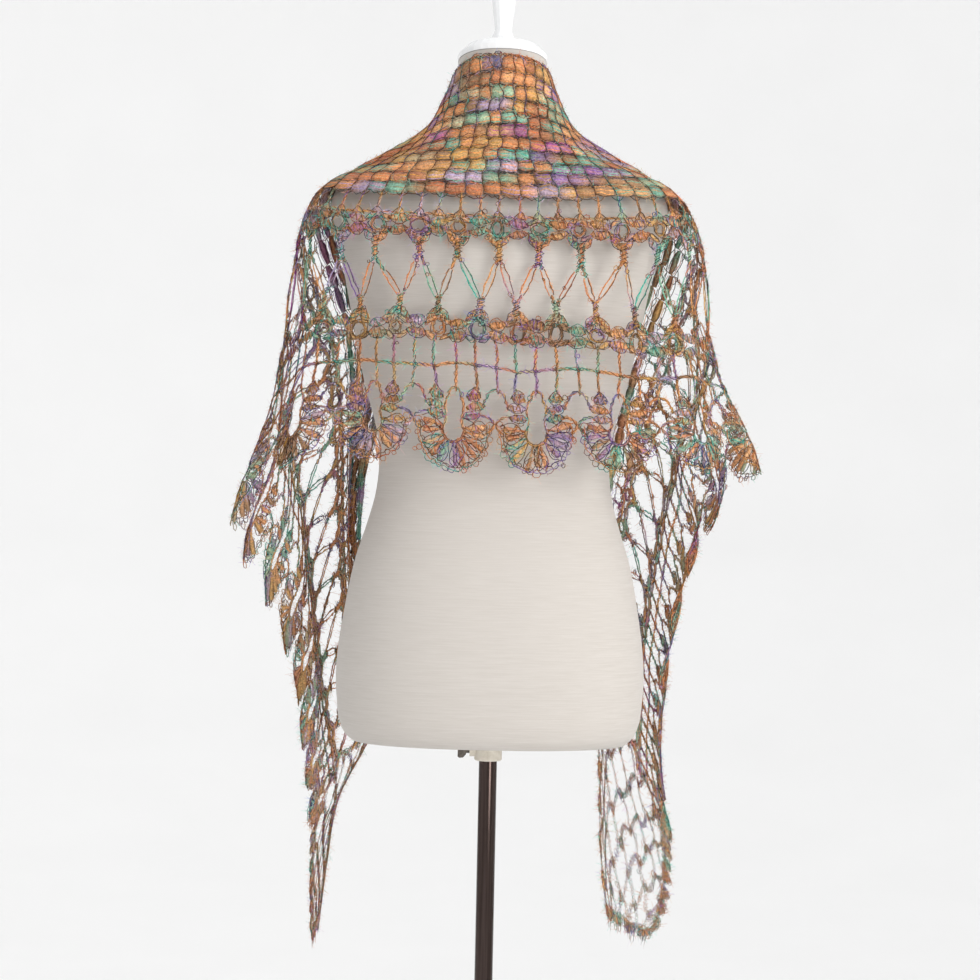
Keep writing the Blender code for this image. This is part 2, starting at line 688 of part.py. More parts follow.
def build_screw(group, screw_z):
    dark = new_material("screw_dark", (0.08, 0.075, 0.07), 0.4, 0.6)
    shank = SCREW_INNER_X - KNOB_START_X
    steps = [(SCREW_R, 0.0), (SCREW_R, shank - 0.0005)]
    rings = []
    angles = [2 * math.pi * i / SMALL_SEGMENTS for i in range(SMALL_SEGMENTS)]
    for radius, height in steps:
        rings.append([(radius * math.cos(a), radius * math.sin(a), height) for a in angles])
    length = SCREW_INNER_X - KNOB_END_X
    for wide, height in ((0.55, shank), (0.95, shank + 0.003), (1.0, length - 0.002), (0.85, length)):
        rings.append([(KNOB_HALF_WIDTH * wide * math.cos(a), KNOB_HALF_THICK * math.sin(a) * 1.2, height)
                      for a in angles])
    verts, faces = loft(rings)
    move = along_x(SCREW_INNER_X, screw_z)
    add_object("clamp_screw", group, dark, [tuple(move @ Vector(v)) for v in verts], faces)


def build_stand(group):
    steel = new_material("pole_dark_chrome", (0.16, 0.13, 0.12), 0.22, 1.0)
    iron = new_material("base_black", (0.05, 0.048, 0.045), 0.5, 0.3)
    foot = SOCKET_FLOOR + GAP
    turned("stand_pole", group, steel, [(POLE_R, foot), (POLE_R, FORM_Z + POLE_IN_FORM)], ROUND_SEGMENTS)
    inner = POLE_R + GAP + 0.00005
    steps = [
        (BASE_R - BASE_EDGE, 0.0),
        (BASE_R, BASE_EDGE),
        (BASE_R, BASE_H - BASE_EDGE),
        (BASE_R - BASE_EDGE, BASE_H),
        (SOCKET_R + 0.004, BASE_H + 0.002),
        (SOCKET_R - 0.002, SOCKET_H - 0.003),
        (SOCKET_R - 0.005, SOCKET_H),
        (inner, SOCKET_H),
        (inner, SOCKET_FLOOR),
    ]
    turned("stand_base", group, iron, steps, ROUND_SEGMENTS)


def main():
    clear_scene()
    group = new_collection(COLLECTION)
    tools = new_collection(CUTTERS)
    build_torso(group)
    gloss, centre = build_cap(group)
    build_finial(group, gloss, centre)
    screw_z = build_collar(group, tools)
    build_screw(group, screw_z)
    build_stand(group)
    build_shawl(group)


main()
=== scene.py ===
"""Yarn-level crochet for a mohair lace shawl, with materials, camera and light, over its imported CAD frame.

Lengths on the lace chart are nominal millimetres: x runs along the rows (20 to a post), y runs down from the
top edge (480 to the hem) and z lifts off the cloth's mid surface.
"""

import math

import bpy
import numpy as np
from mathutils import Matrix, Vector


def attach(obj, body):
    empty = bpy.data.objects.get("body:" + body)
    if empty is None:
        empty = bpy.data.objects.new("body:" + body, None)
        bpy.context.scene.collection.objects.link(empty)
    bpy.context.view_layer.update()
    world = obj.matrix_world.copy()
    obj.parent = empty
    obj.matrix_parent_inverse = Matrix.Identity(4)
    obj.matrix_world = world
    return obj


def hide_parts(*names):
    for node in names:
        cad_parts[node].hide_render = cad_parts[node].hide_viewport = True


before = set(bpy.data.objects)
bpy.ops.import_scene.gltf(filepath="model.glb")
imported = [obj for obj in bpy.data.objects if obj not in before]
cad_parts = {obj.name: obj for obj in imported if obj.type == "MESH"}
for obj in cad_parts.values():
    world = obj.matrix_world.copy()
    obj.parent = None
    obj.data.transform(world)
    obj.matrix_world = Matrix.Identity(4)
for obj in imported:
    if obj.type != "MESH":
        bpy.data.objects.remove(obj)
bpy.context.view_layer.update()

RNG = np.random.default_rng(7)

# the cloth's mid surface, from the same tables as the part's source
FORM_Z = 0.80
FORM_POWER = 2.3
BUST_Z = 0.445
BUST_HEIGHT = 0.055
BUST_ANGLE = 0.62
BUST_WIDTH = 0.30
BUST_OUT = 0.016
# height, half width, depth in front and behind, and how far forward the section lies
FORM_PROFILE = (
    (0.000, 0.1500, 0.0960, 0.1040, 0.000),
    (0.005, 0.1560, 0.1020, 0.1100, 0.000),
    (0.016, 0.1625, 0.1080, 0.1160, 0.000),
    (0.045, 0.1675, 0.1120, 0.1205, 0.000),
    (0.156, 0.1590, 0.1060, 0.1110, 0.000),
    (0.200, 0.1500, 0.1010, 0.1020, 0.000),
    (0.235, 0.1390, 0.0960, 0.0930, 0.000),
    (0.268, 0.1300, 0.0920, 0.0865, 0.000),
    (0.300, 0.1265, 0.0910, 0.0830, 0.000),
    (0.335, 0.1290, 0.0940, 0.0830, 0.000),
    (0.386, 0.1430, 0.1040, 0.0885, 0.000),
    (0.445, 0.1560, 0.1140, 0.0970, 0.000),
    (0.510, 0.1690, 0.1100, 0.1010, 0.000),
    (0.560, 0.1810, 0.0990, 0.0970, 0.000),
    (0.588, 0.1850, 0.0870, 0.0880, 0.000),
    (0.606, 0.1770, 0.0760, 0.0790, 0.002),
    (0.625, 0.1500, 0.0650, 0.0690, 0.004),
    (0.645, 0.1150, 0.0560, 0.0600, 0.006),
    (0.665, 0.0840, 0.0490, 0.0550, 0.008),
    (0.686, 0.0650, 0.0460, 0.0510, 0.010),
    (0.712, 0.0545, 0.0440, 0.0480, 0.010),
    (0.775, 0.0455, 0.0400, 0.0440, 0.010),
)
CLOTH_CLEAR = 0.0034
CLOTH_DROP = 0.0040
ROW_KNOTS = (0.0, 0.165, 0.33, 0.62, 1.0)
# posts; then x y z above the form's bottom of the top edge, the yoke's end, the middle and the hem
RIGHT_STATIONS = (
    (3.6, 0.039, -0.039, 0.750, 0.072, -0.100, 0.597, 0.075, -0.114, 0.465, 0.080, -0.128, 0.288),
    (7.0, 0.055, 0.008, 0.726, 0.140, -0.088, 0.600, 0.148, -0.108, 0.460, 0.155, -0.124, 0.290),
    (10.4, 0.060, 0.058, 0.674, 0.190, -0.040, 0.602, 0.208, -0.078, 0.450, 0.232, -0.096, 0.294),
    (13.8, 0.068, 0.102, 0.605, 0.204, 0.020, 0.572, 0.236, -0.014, 0.430, 0.282, -0.030, 0.292),
    (18.5, 0.080, 0.140, 0.515, 0.176, 0.084, 0.462, 0.224, 0.048, 0.360, 0.238, 0.040, 0.226),
    (24.4, 0.090, 0.158, 0.410, 0.150, 0.128, 0.360, 0.206, 0.092, 0.270, 0.214, 0.082, 0.150),
    (30.0, 0.100, 0.158, 0.300, 0.134, 0.144, 0.254, 0.188, 0.120, 0.165, 0.200, 0.106, 0.056),
    (36.0, 0.112, 0.154, 0.180, 0.133, 0.147, 0.146, 0.176, 0.132, 0.060, 0.202, 0.118, -0.036),
    (42.0, 0.122, 0.150, 0.060, 0.1334, 0.1465, 0.038, 0.168, 0.136, -0.029, 0.214, 0.122, -0.118),
    (48.0, 0.128, 0.148, -0.055, 0.1386, 0.1454, -0.068, 0.172, 0.137, -0.109, 0.217, 0.126, -0.162),
    (53.0, 0.132, 0.144, -0.150, 0.143, 0.142, -0.158, 0.171, 0.136, -0.178, 0.212, 0.128, -0.205),
    (56.0, 0.140, 0.140, -0.212, 0.152, 0.138, -0.220, 0.170, 0.135, -0.230, 0.198, 0.130, -0.234),
)
CENTRE_STATION = (0.0, 0.0, -0.058, 0.757, 0.0, -0.101, 0.598, 0.0, -0.114, 0.468, 0.0, -0.126, 0.284)
LEFT_STATIONS = (
    (3.6, -0.039, -0.039, 0.750, -0.072, -0.100, 0.599, -0.075, -0.114, 0.470, -0.080, -0.128, 0.292),
    (7.0, -0.055, 0.008, 0.726, -0.140, -0.088, 0.600, -0.146, -0.108, 0.468, -0.152, -0.124, 0.300),
    (10.4, -0.060, 0.058, 0.674, -0.190, -0.040, 0.603, -0.204, -0.078, 0.458, -0.226, -0.096, 0.285),
    (13.8, -0.068, 0.102, 0.605, -0.204, 0.020, 0.573, -0.232, -0.014, 0.415, -0.274, -0.026, 0.228),
    (18.5, -0.080, 0.140, 0.520, -0.176, 0.086, 0.462, -0.236, 0.046, 0.340, -0.264, 0.032, 0.176),
    (24.4, -0.118, 0.156, 0.400, -0.172, 0.122, 0.352, -0.216, 0.088, 0.250, -0.236, 0.070, 0.108),
    (30.0, -0.150, 0.156, 0.285, -0.172, 0.138, 0.240, -0.202, 0.110, 0.150, -0.214, 0.088, 0.032),
    (36.0, -0.150, 0.158, 0.160, -0.163, 0.145, 0.126, -0.190, 0.116, 0.045, -0.207, 0.088, -0.040),
    (42.0, -0.128, 0.158, 0.020, -0.140, 0.145, 0.001, -0.1687, 0.1129, -0.046, -0.202, 0.076, -0.100),
    (48.0, -0.172, 0.150, -0.085, -0.1754, 0.142, -0.094, -0.187, 0.115, -0.125, -0.200, 0.084, -0.160),
    (53.0, -0.184, 0.142, -0.165, -0.186, 0.136, -0.171, -0.192, 0.117, -0.188, -0.199, 0.094, -0.208),
    (56.0, -0.190, 0.130, -0.222, -0.1915, 0.1255, -0.226, -0.194, 0.118, -0.232, -0.198, 0.106, -0.242),
)
# posts, the share by which the yoke's middle is drawn inward and how far it is lowered
YOKE_HOLLOW = (
    (0.0, 0.12, 0.004),
    (8.0, 0.12, 0.006),
    (10.4, 0.08, 0.002),
    (13.8, -0.02, -0.010),
    (20.0, 0.0, 0.0),
)
# posts, the depth of the upright folds at the hem and that of the level pleats
FOLD_DEPTHS = (
    (0.0, 0.004, 0.000),
    (6.0, 0.006, 0.000),
    (10.0, 0.009, 0.000),
    (14.0, 0.012, 0.003),
    (19.0, 0.008, 0.011),
    (26.0, 0.003, 0.010),
    (34.0, 0.001, 0.007),
    (39.0, 0.000, 0.003),
    (42.0, 0.000, 0.000),
    (56.0, 0.000, 0.000),
)
# posts to an upright fold, level pleats down the cloth, and the half steps over which its slopes are read
FOLD_POSTS = 4.6
PLEATS = 2.5
POST_STEP = 0.35
ROW_STEP = 0.012
# the grid that the surface is read from: its cell, the posts past each tip, its first row and its rows in all
GRID_STEP = (0.25, 0.008)
GRID_SPARE = 1.5
GRID_TOP = -0.06
GRID_ROWS = 1.16

# the lace chart
POST_MM = 20.0
ROW_MM = 480.0
MAIN_END = 42
TAIL_END = 56
YOKE_END = 0.352
FILET_END = 0.404
SHELL_END = 0.457
NET_NODE = 0.512
NET_JOIN = 0.598
NET_END = 0.643
LOWER_SHELL_END = 0.700
LADDER_CHAIN = 0.755
LADDER_END = 0.806
FAN_ROW = 0.893
YOKE_ROW_MM = 13.8
YOKE_COURSES = 13
LEAST_BLOCK = 0.45
# posts, the yoke's depth in metres, the whole cloth's depth as a share of the centre back's
DEPTHS = (
    (0.0, 0.165, 1.00),
    (10.4, 0.165, 1.04),
    (14.0, 0.155, 0.98),
    (18.5, 0.125, 0.86),
    (24.4, 0.085, 0.71),
    (30.0, 0.060, 0.60),
    (36.0, 0.040, 0.50),
    (42.0, 0.025, 0.40),
    (56.0, 0.012, 0.20),
)

# posts, and the share by which the border is drawn taller there, where the cloth's depth is gathered up
BORDER_GROW = ((0.0, 0.0), (8.0, 0.0), (14.0, 0.25), (20.0, 0.42), (34.0, 0.42), (42.0, 0.0))
TAIL_COLUMNS = 5
TAIL_LENGTHS = 8
TAIL_TOP = 0.05
TAIL_BOTTOM = 0.91
# posts past which the yarn is snagged up more, and past which the yoke's bodies are thinner, with their share
SIDE_START = 11.0
YOKE_THIN_FROM = 14
YOKE_THIN = 0.55

# strands of a yoke block: height in it, painted light (far below 1 is painted shade, above 1 a painted
# highlight), bow in real millimetres, dye lengths on
BLOCK_STRANDS = (
    (-0.97, 0.14, -1.4, 0.00),
    (-0.66, 1.25, -1.0, 0.35),
    (-0.36, 0.34, -0.5, 0.10),
    (-0.04, 1.55, 0.0, 0.55),
    (0.30, 0.40, 0.5, 0.20),
    (0.62, 1.40, 1.0, 0.75),
    (0.96, 0.14, 2.1, 0.30),
)
# clusters of the stack beside each fan: off the fan's middle, below the ladder, half length, half height
CLUSTER_STACK = ((18.5, 6.5, 7.0, 5.4), (19.5, 16.5, 9.4, 5.8), (18.0, 26.5, 9.0, 5.4))
# chains beside each fan: from and to as offsets from its middle and below the ladder, dye lengths on, bow
FAN_LINKS = (
    ((20.0, -4.0), (15.0, 3.0), 0.6, -0.8),
    ((20.0, -4.0), (24.5, 4.0), 0.9, 0.8),
    ((0.0, -3.0), (5.5, 6.0), 0.4, -2.0),
    ((5.5, 6.0), (8.5, 24.0), 0.5, -2.2),
    ((8.5, 24.0), (10.5, 41.0), 0.9, 1.6),
    ((40.0, -3.0), (30.5, 8.0), 1.9, 2.4),
    ((30.5, 8.0), (28.0, 17.0), 2.1, 0.8),
    ((25.5, 25.0), (39.5, 33.0), 2.6, -2.4),
    ((39.5, 33.0), (31.0, 44.0), 3.1, -2.0),
    ((19.0, 33.0), (25.0, 43.0), 3.6, 1.0),
)
# posts, and how much thicker the yarn is drawn there
FULLER = ((0.0, 1.0), (40.0, 1.0), (43.0, 0.56), (56.0, 0.56))

# dye colours of the yarn in sRGB, with the share of the yarn that each takes
PALETTE = (
    ((204, 120, 54), 0.24),
    ((212, 146, 84), 0.10),
    ((176, 84, 34), 0.11),
    ((190, 138, 52), 0.12),
    ((140, 92, 52), 0.10),
    ((20, 164, 148), 0.12),
    ((108, 172, 146), 0.05),
    ((114, 76, 154), 0.06),
    ((156, 138, 182), 0.08),
    ((152, 52, 142), 0.018),
    ((56, 66, 130), 0.018),
    ((160, 148, 116), 0.03),
)
# the pale tone of light through the fibres, and how much brighter the soft bodies are drawn
HAZE = (0.86, 0.62, 0.38)
HAZE_LEVEL = 0.36
BODY_TONE = 1.25
# dyes in the run, the share of repeats that stay, the share of a dye length before the next one mixes in,
# and dye lengths to a chart millimetre
DYE_RUN = 4096
DYE_REPEAT = 0.25
DYE_PLAIN = 0.62
DYE_RATE = 1 / 75
HASH_SPAN = 997.0
# loose fibres in metres: half length and half width along the bodies, length and half width of the halo
FILL_REACH = (0.002, 0.0042)
FILL_HALF_WIDTH = (0.00009, 0.00020)
HALO_LENGTH = (0.004, 0.010)
HALO_HALF_WIDTH = 0.00018

# a tube's cross-section by its number of sides, and a cluster's half height along it
RINGS = {
    3: ((1.0, 0.0), (-0.5, 0.866), (-0.5, -0.866)),
    4: ((1.0, 0.0), (0.0, 1.0), (-1.0, 0.0), (0.0, -1.0)),
}
LEAF = np.array((0.30, 0.90, 0.90, 0.30))

# the form, the frame's nodes and the studio
BORE_R = 0.0101
BORE_DEPTH = 0.35
NECK_Z = 0.746
NECK_TILT = 0.21
NECK_Y = 0.010
SKIN_STEPS = 112
STRETCHES = ("left_front_low", "left_front_high", "left_side", "left_shoulder", "back", "right_shoulder",
             "right_side", "right_front_high", "right_front_low")
WALL_TONE = (0.955, 0.955, 0.955)
LIGHT_SPREAD = math.radians(75)
SHARP_ANGLE = math.radians(38)
STUDIO_STEPS = 96


def by_post(table, posts, column=1):
    """A table's value at each post, the same on both sides."""
    table = np.array(table)
    return np.interp(np.abs(posts), table[:, 0], table[:, column])


def unit(v):
    return v / (np.linalg.norm(v, axis=-1, keepdims=True) + 1e-12)


# the cloth's surface


def slopes(knots, values):
    """The curve's slope at each knot, along the first axis."""
    step = np.diff(knots).reshape(-1, *[1] * (values.ndim - 1))
    chord = np.diff(values, axis=0) / step
    inner = (chord[:-1] * step[1:] + chord[1:] * step[:-1]) / (step[:-1] + step[1:])
    return np.concatenate((chord[:1], inner, chord[-1:]))


def curve(knots, values, where, *rest):
    """A smooth curve through the values at the knots; rest picks one curve of many for each place."""
    tangent = slopes(knots, values)
    i = np.clip(np.searchsorted(knots, where, side="right") - 1, 0, len(knots) - 2)
    width = (knots[i + 1] - knots[i])[:, None]
    t = (where - knots[i])[:, None] / width
    near, far = (i, *rest), (i + 1, *rest)
    start = (1 + 2 * t) * (1 - t) ** 2 * values[near] + t * (1 - t) ** 2 * width * tangent[near]
    return start + t * t * (3 - 2 * t) * values[far] + t * t * (t - 1) * width * tangent[far]


def spline(table, where):
    table = np.array(table)
    knots = table[:, 0]
    return curve(knots, table[:, 1:], np.clip(where, knots[0], knots[-1]))


def form_section(height):
    return spline(FORM_PROFILE, height)


def form_radius(angle, height):
    section = form_section(height)
    cos = np.abs(np.cos(angle))
    sin = np.sin(angle)
    depth = np.where(sin > 0, section[:, 1], section[:, 2])
    skin = ((cos / section[:, 0]) ** FORM_POWER + (np.abs(sin) / depth) ** FORM_POWER) ** (-1 / FORM_POWER)
    rise = np.exp(-(((height - BUST_Z) / BUST_HEIGHT) ** 2))
    off = np.abs(angle - math.pi / 2)
    return skin + BUST_OUT * rise * np.exp(-(((off - BUST_ANGLE) / BUST_WIDTH) ** 2))


def station_table():
    """Every station from tip to tip, with the yoke's middle put in between its two edges."""
    left = [(-row[0],) + row[1:] for row in LEFT_STATIONS]
    table = np.array(left[::-1] + [CENTRE_STATION] + list(RIGHT_STATIONS))
    middle = (table[:, 1:4] + table[:, 4:7]) / 2
    middle[:, :2] *= (1 - by_post(YOKE_HOLLOW, table[:, 0]))[:, None]
    middle[:, 2] -= by_post(YOKE_HOLLOW, table[:, 0], 2)
    return np.hstack((table[:, :4], middle, table[:, 4:]))


STATIONS = station_table()


def smooth_cloth(posts, rows):
    control = spline(STATIONS, posts).reshape(-1, len(ROW_KNOTS), 3)
    return curve(np.array(ROW_KNOTS), np.moveaxis(control, 1, 0), rows, np.arange(len(rows)))


def fold_offset(posts, rows):
    grow = np.clip((rows - 0.36) / 0.64, 0, 1.2) ** 1.3
    upright = by_post(FOLD_DEPTHS, posts) * grow * np.cos(2 * math.pi * posts / FOLD_POSTS)
    swell = np.clip(rows / 0.3, 0, 1)
    pleat = by_post(FOLD_DEPTHS, posts, 2) * swell
    return upright + pleat * np.sin(2 * math.pi * PLEATS * rows + 0.03 * posts)


def push_out(points):
    """Moves points that would lie inside the form out to its skin."""
    height = points[:, 2] - CLOTH_DROP
    centre = form_section(np.clip(height, 0, None))[:, 3]
    dx = points[:, 0]
    dy = points[:, 1] - centre
    angle = np.arctan2(dy, dx)
    flat = np.hypot(dx, dy)
    skin = form_radius(angle, np.clip(height, 0, None)) + CLOTH_CLEAR
    radius = np.where((flat < skin) & (height > -0.02), skin, flat)
    return np.stack((radius * np.cos(angle), radius * np.sin(angle) + centre, points[:, 2]), axis=1)


def folded_cloth(posts, rows):
    base = smooth_cloth(posts, rows)
    along = smooth_cloth(posts + 0.05, rows) - smooth_cloth(posts - 0.05, rows)
    down = smooth_cloth(posts, rows + 0.004) - smooth_cloth(posts, rows - 0.004)
    return push_out(base + unit(np.cross(down, along)) * fold_offset(posts, rows)[:, None])


class Surface:
    """The cloth's mid surface and normals on a fine grid, read by straight interpolation."""

    def __init__(self):
        self.low = np.array((-TAIL_END - GRID_SPARE, GRID_TOP))
        self.step = np.array(GRID_STEP)
        self.size = (np.array((2 * TAIL_END + 2 * GRID_SPARE, GRID_ROWS)) / self.step).astype(int) + 2
        axes = [self.low[k] + self.step[k] * np.arange(self.size[k]) for k in (0, 1)]
        posts, rows = (axis.ravel() for axis in np.meshgrid(*axes, indexing="ij"))
        along = folded_cloth(posts + POST_STEP, rows) - folded_cloth(posts - POST_STEP, rows)
        down = folded_cloth(posts, rows + ROW_STEP) - folded_cloth(posts, rows - ROW_STEP)
        place = folded_cloth(posts, rows) + np.array((0, 0, FORM_Z))
        over = np.clip(np.abs(posts) - TAIL_END, 0, None)
        place[:, 2] -= over * POST_MM / 1000
        wide = np.linalg.norm(along, axis=1) * 1000 / (2 * POST_STEP * POST_MM)
        tall = np.linalg.norm(down, axis=1) * 1000 / (2 * ROW_STEP * ROW_MM)
        channels = np.column_stack((place, unit(np.cross(down, along)), wide, tall))
        self.grid = channels.reshape(self.size[0], self.size[1], 8)

    def values(self, x, y):
        at = (np.stack((x / POST_MM, y / ROW_MM), axis=-1) - self.low) / self.step
        at = np.clip(at, 0, self.size - 1.001)
        i = at.astype(int)
        f = at - i
        g = self.grid
        a, b = i[..., 0], i[..., 1]
        s, t = f[..., :1], f[..., 1:]
        low = g[a, b] * (1 - t) + g[a, b + 1] * t
        high = g[a + 1, b] * (1 - t) + g[a + 1, b + 1] * t
        return low * (1 - s) + high * s

    def read(self, x, y):
        out = self.values(x, border_row(x, y)[0])
        return out[..., :3], unit(out[..., 3:6])

    def scale(self, x, y):
        """Real millimetres for a chart millimetre, along the rows and down them."""
        row, slope = border_row(x, y)
        out = self.values(x, row)
        return np.clip(np.stack((out[..., 6], out[..., 7] * slope), axis=-1), 0.2, 1.4)


def border_row(x, y):
    """The chart row at which the rows below the yoke are drawn, and how much taller they get."""
    grow = by_post(BORDER_GROW, x / POST_MM)
    start = YOKE_END * ROW_MM
    t = np.clip((y - start) / (ROW_MM - start), 0, None)
    moved = start + (ROW_MM - start) * ((1 - grow) * t + grow * t * t)
    below = y > start
    return np.where(below, moved, y), np.where(below, 1 - grow + 2 * grow * t, 1.0)


# the yarn


def linear(srgb):
    c = np.asarray(srgb, float) / 255
    return np.where(c <= 0.04045, c / 12.92, ((c + 0.055) / 1.055) ** 2.4)


def dye_table():
    """A long random run of dyes, each unlike the one before it."""
    weights = np.array([w for _, w in PALETTE])
    run = [0]
    while len(run) < DYE_RUN:
        pick = int(RNG.choice(len(PALETTE), p=weights / weights.sum()))
        if pick != run[-1] or RNG.random() < DYE_REPEAT:
            run.append(pick)
    colours = np.array([linear(c) for c, _ in PALETTE])
    return colours[np.array(run)]


DYES = dye_table()


def dye(q):
    """The yarn's colour at a distance along it, counted in dye lengths."""
    i = np.floor(q).astype(int)
    f = np.clip((q - i - DYE_PLAIN) / (1 - DYE_PLAIN), 0, 1)[..., None]
    return DYES[i % len(DYES)] * (1 - f) + DYES[(i + 1) % len(DYES)] * f


def soften(colour, share):
    """Mixes a dye with the pale warm tone of the light that comes through the fibres."""
    level = colour.mean(axis=-1, keepdims=True)
    return colour * (1 - share) + np.array(HAZE) * (HAZE_LEVEL + level) * share


def spread(value, shape):
    value = np.asarray(value, float)
    if value.ndim == 1:
        value = value[:, None]
    return np.broadcast_to(value, shape)


class Yarn:
    """Strands drawn on the chart, then laid on the cloth as tubes in one mesh."""

    def __init__(self, name):
        self.name = name
        self.parts = []

    def tube(self, pts, wide, thick=None, q=0.0, shade=1.0, rate=DYE_RATE, soft=0.0):
        """Strands of three sides, or flat soft bodies of four where thick is given."""
        pts = np.asarray(pts, float)
        shape = pts.shape[:2]
        sides = 3 if thick is None else 4
        wide = spread(wide, shape) * by_post(FULLER, pts[..., 0] / POST_MM)
        thick = wide if thick is None else spread(thick, shape)
        length = np.linalg.norm(np.diff(pts, axis=1), axis=2)
        run = np.hstack((np.zeros((shape[0], 1)), np.cumsum(length, axis=1)))
        # shade multiplies the dye: tone that differs at random, and painted light, the strands drawn far
        # darker than their dye being painted shade and those drawn lighter painted highlights
        colour = soften(dye(spread(q, shape) + run * rate), soft) * spread(shade, shape)[..., None]
        colour = colour * (BODY_TONE if soft else 1.0)
        self.parts.append((pts, wide, thick, colour, soft, sides))

    def laid(self):
        """World centre lines, normals, half widths, half thicknesses, colours and sides of every part."""
        for pts, wide, thick, colour, soft, sides in self.parts:
            place, normal = SURFACE.read(pts[..., 0], pts[..., 1])
            yield place + normal * pts[..., 2:] / 1000, normal, wide / 1000, thick / 1000, colour, sides

    def build(self, material):
        verts, tints, quads, caps, start = [], [], [], [np.empty((0, 3), int)], 0
        for line, normal, wide, thick, colour, sides in self.laid():
            count, n = line.shape[:2]
            tangent = np.gradient(line, axis=1)
            side = unit(np.cross(tangent, normal))
            up = unit(np.cross(side, tangent)) * thick[..., None]
            side = side * wide[..., None]
            verts.append(np.stack([line + side * c + up * s for c, s in RINGS[sides]], axis=2).reshape(-1, 3))
            tints.append(np.repeat(colour.reshape(-1, 3), sides, axis=0))
            base = start + (np.arange(count) * n * sides)[:, None, None]
            level = (np.arange(n - 1) * sides)[None, :, None]
            i = np.arange(sides)[None, None, :]
            j = (i + 1) % sides
            near, far = base + level, base + level + sides
            quads.append(np.stack((near + i, near + j, far + j, far + i), axis=-1).reshape(-1, 4))
            ends = quads if sides == 4 else caps
            ends.append(base[:, :, 0] + np.arange(sides)[::-1])
            ends.append(base[:, :, 0] + (n - 1) * sides + np.arange(sides))
            start += count * n * sides
        verts, quads, tints, caps = (np.vstack(group) for group in (verts, quads, tints, caps))
        return make_mesh(self.name, verts, quads, tints, material, caps)


def add_object(name, data):
    obj = bpy.data.objects.new(name, data)
    bpy.context.scene.collection.objects.link(obj)
    return obj


def make_mesh(name, verts, quads, tints, material, caps=()):
    """One mesh of four sided faces and, in caps, three sided ones, with a colour at every point."""
    caps = np.asarray(caps, int).reshape(-1, 3)
    corners = np.concatenate((quads.ravel(), caps.ravel()))
    starts = np.concatenate((np.arange(len(quads)) * 4, quads.size + np.arange(len(caps)) * 3))
    mesh = bpy.data.meshes.new(name)
    mesh.vertices.add(len(verts))
    mesh.vertices.foreach_set("co", verts.astype(np.float32).ravel())
    mesh.loops.add(len(corners))
    mesh.loops.foreach_set("vertex_index", corners.astype(np.int32))
    mesh.polygons.add(len(starts))
    mesh.polygons.foreach_set("loop_start", starts.astype(np.int32))
    mesh.polygons.foreach_set("use_smooth", np.ones(len(starts), bool))
    mesh.update(calc_edges=True)
    tint = mesh.attributes.new("yarn_colour", "FLOAT_COLOR", "POINT")
    rgba = np.hstack((tints, np.ones((len(tints), 1)))).astype(np.float32)
    tint.data.foreach_set("color", rgba.ravel())
    mesh.materials.append(material)
    return add_object(name, mesh)


SURFACE = Surface()


# strands: every helper takes arrays of K places and gives K strands

def wobble(count, size=1.0):
    return RNG.uniform(-size, size, count)


def between(a, b, n, bow=0.0, lift=0.0, wave=0.0, turns=1.0, phase=0.0, rough=0.0):
    """Strands from points a to b (K, 2), bowed by chart millimetres and waved or roughened by real ones."""
    a, b = np.asarray(a, float), np.asarray(b, float)
    t = np.linspace(0, 1, n)[None, :]
    line = b - a
    across = unit(np.stack((-line[:, 1], line[:, 0]), axis=1))
    real = 1 / SURFACE.scale((a[:, 0] + b[:, 0]) / 2, (a[:, 1] + b[:, 1]) / 2)
    bow, lift, wave, turns, phase = (spread(v, (len(a), n)) for v in (bow, lift, wave, turns, phase))
    angle = 2 * math.pi * turns * t + phase
    off = bow * 4 * t * (1 - t)
    sway = wave * np.sin(angle)
    ease = np.clip(8 * t * (1 - t), 0, 1) * rough
    flat = []
    for k in (0, 1):
        stray = RNG.normal(0, 1, off.shape) * ease * real[:, k:k + 1] if rough else 0.0
        off_line = across[:, k:k + 1] * (off + sway * real[:, k:k + 1])
        flat.append(a[:, k:k + 1] + line[:, k:k + 1] * t + off_line + stray)
    z = lift + np.minimum(wave, 1.3) * 0.5 * np.cos(angle)
    return np.stack((flat[0], flat[1], z), axis=2)


def at_side(points):
    """0 across the back, rising to 1 where the cloth hangs off the shoulders."""
    return np.clip(np.abs(points[:, 0]) / POST_MM - SIDE_START, 0, 1)


def cross_scale(a, b):
    """Real millimetres for a chart millimetre across the way from a to b."""
    way = unit(b - a)
    scale = SURFACE.scale((a[:, 0] + b[:, 0]) / 2, (a[:, 1] + b[:, 1]) / 2)
    return np.hypot(way[:, 1] * scale[:, 0], way[:, 0] * scale[:, 1])


def chain(yarn, a, b, q, stitch=6.0, amp=1.35, radius=0.50, bow=0.0, lift=0.0, shade=0.50, body=1.3):
    """A crocheted chain: a strand painted dark as shade and a lighter strand painted as a highlight, which
    cross at every stitch, over a soft body; by default the strands are painted at half their dye, as shade.
    """
    a, b = np.asarray(a, float), np.asarray(b, float)
    turns = max(1.0, round(float(np.mean(np.linalg.norm(b - a, axis=1))) / stitch) / 2)
    n = int(round(turns * 4)) + 1
    loose = (1 + 0.5 * at_side(a))[:, None]
    for phase, tone in ((0.0, 0.42), (math.pi, 1.55)):
        swing = amp * loose * (1 + wobble(len(a), 0.3)[:, None])
        line = between(a, b, n, bow=bow, lift=lift, wave=swing, turns=turns, phase=phase, rough=0.36)
        yarn.tube(line, radius, q=q + 0.5 * phase, shade=np.asarray(shade) * tone)
    if body:
        line = between(a, b, 4, bow=bow, lift=np.asarray(lift) - 0.3)
        wide = body / loose ** 2 * np.array((0.6, 1.0, 1.0, 0.6))[None, :]
        yarn.tube(line, wide, 0.25, q=q, soft=0.38)


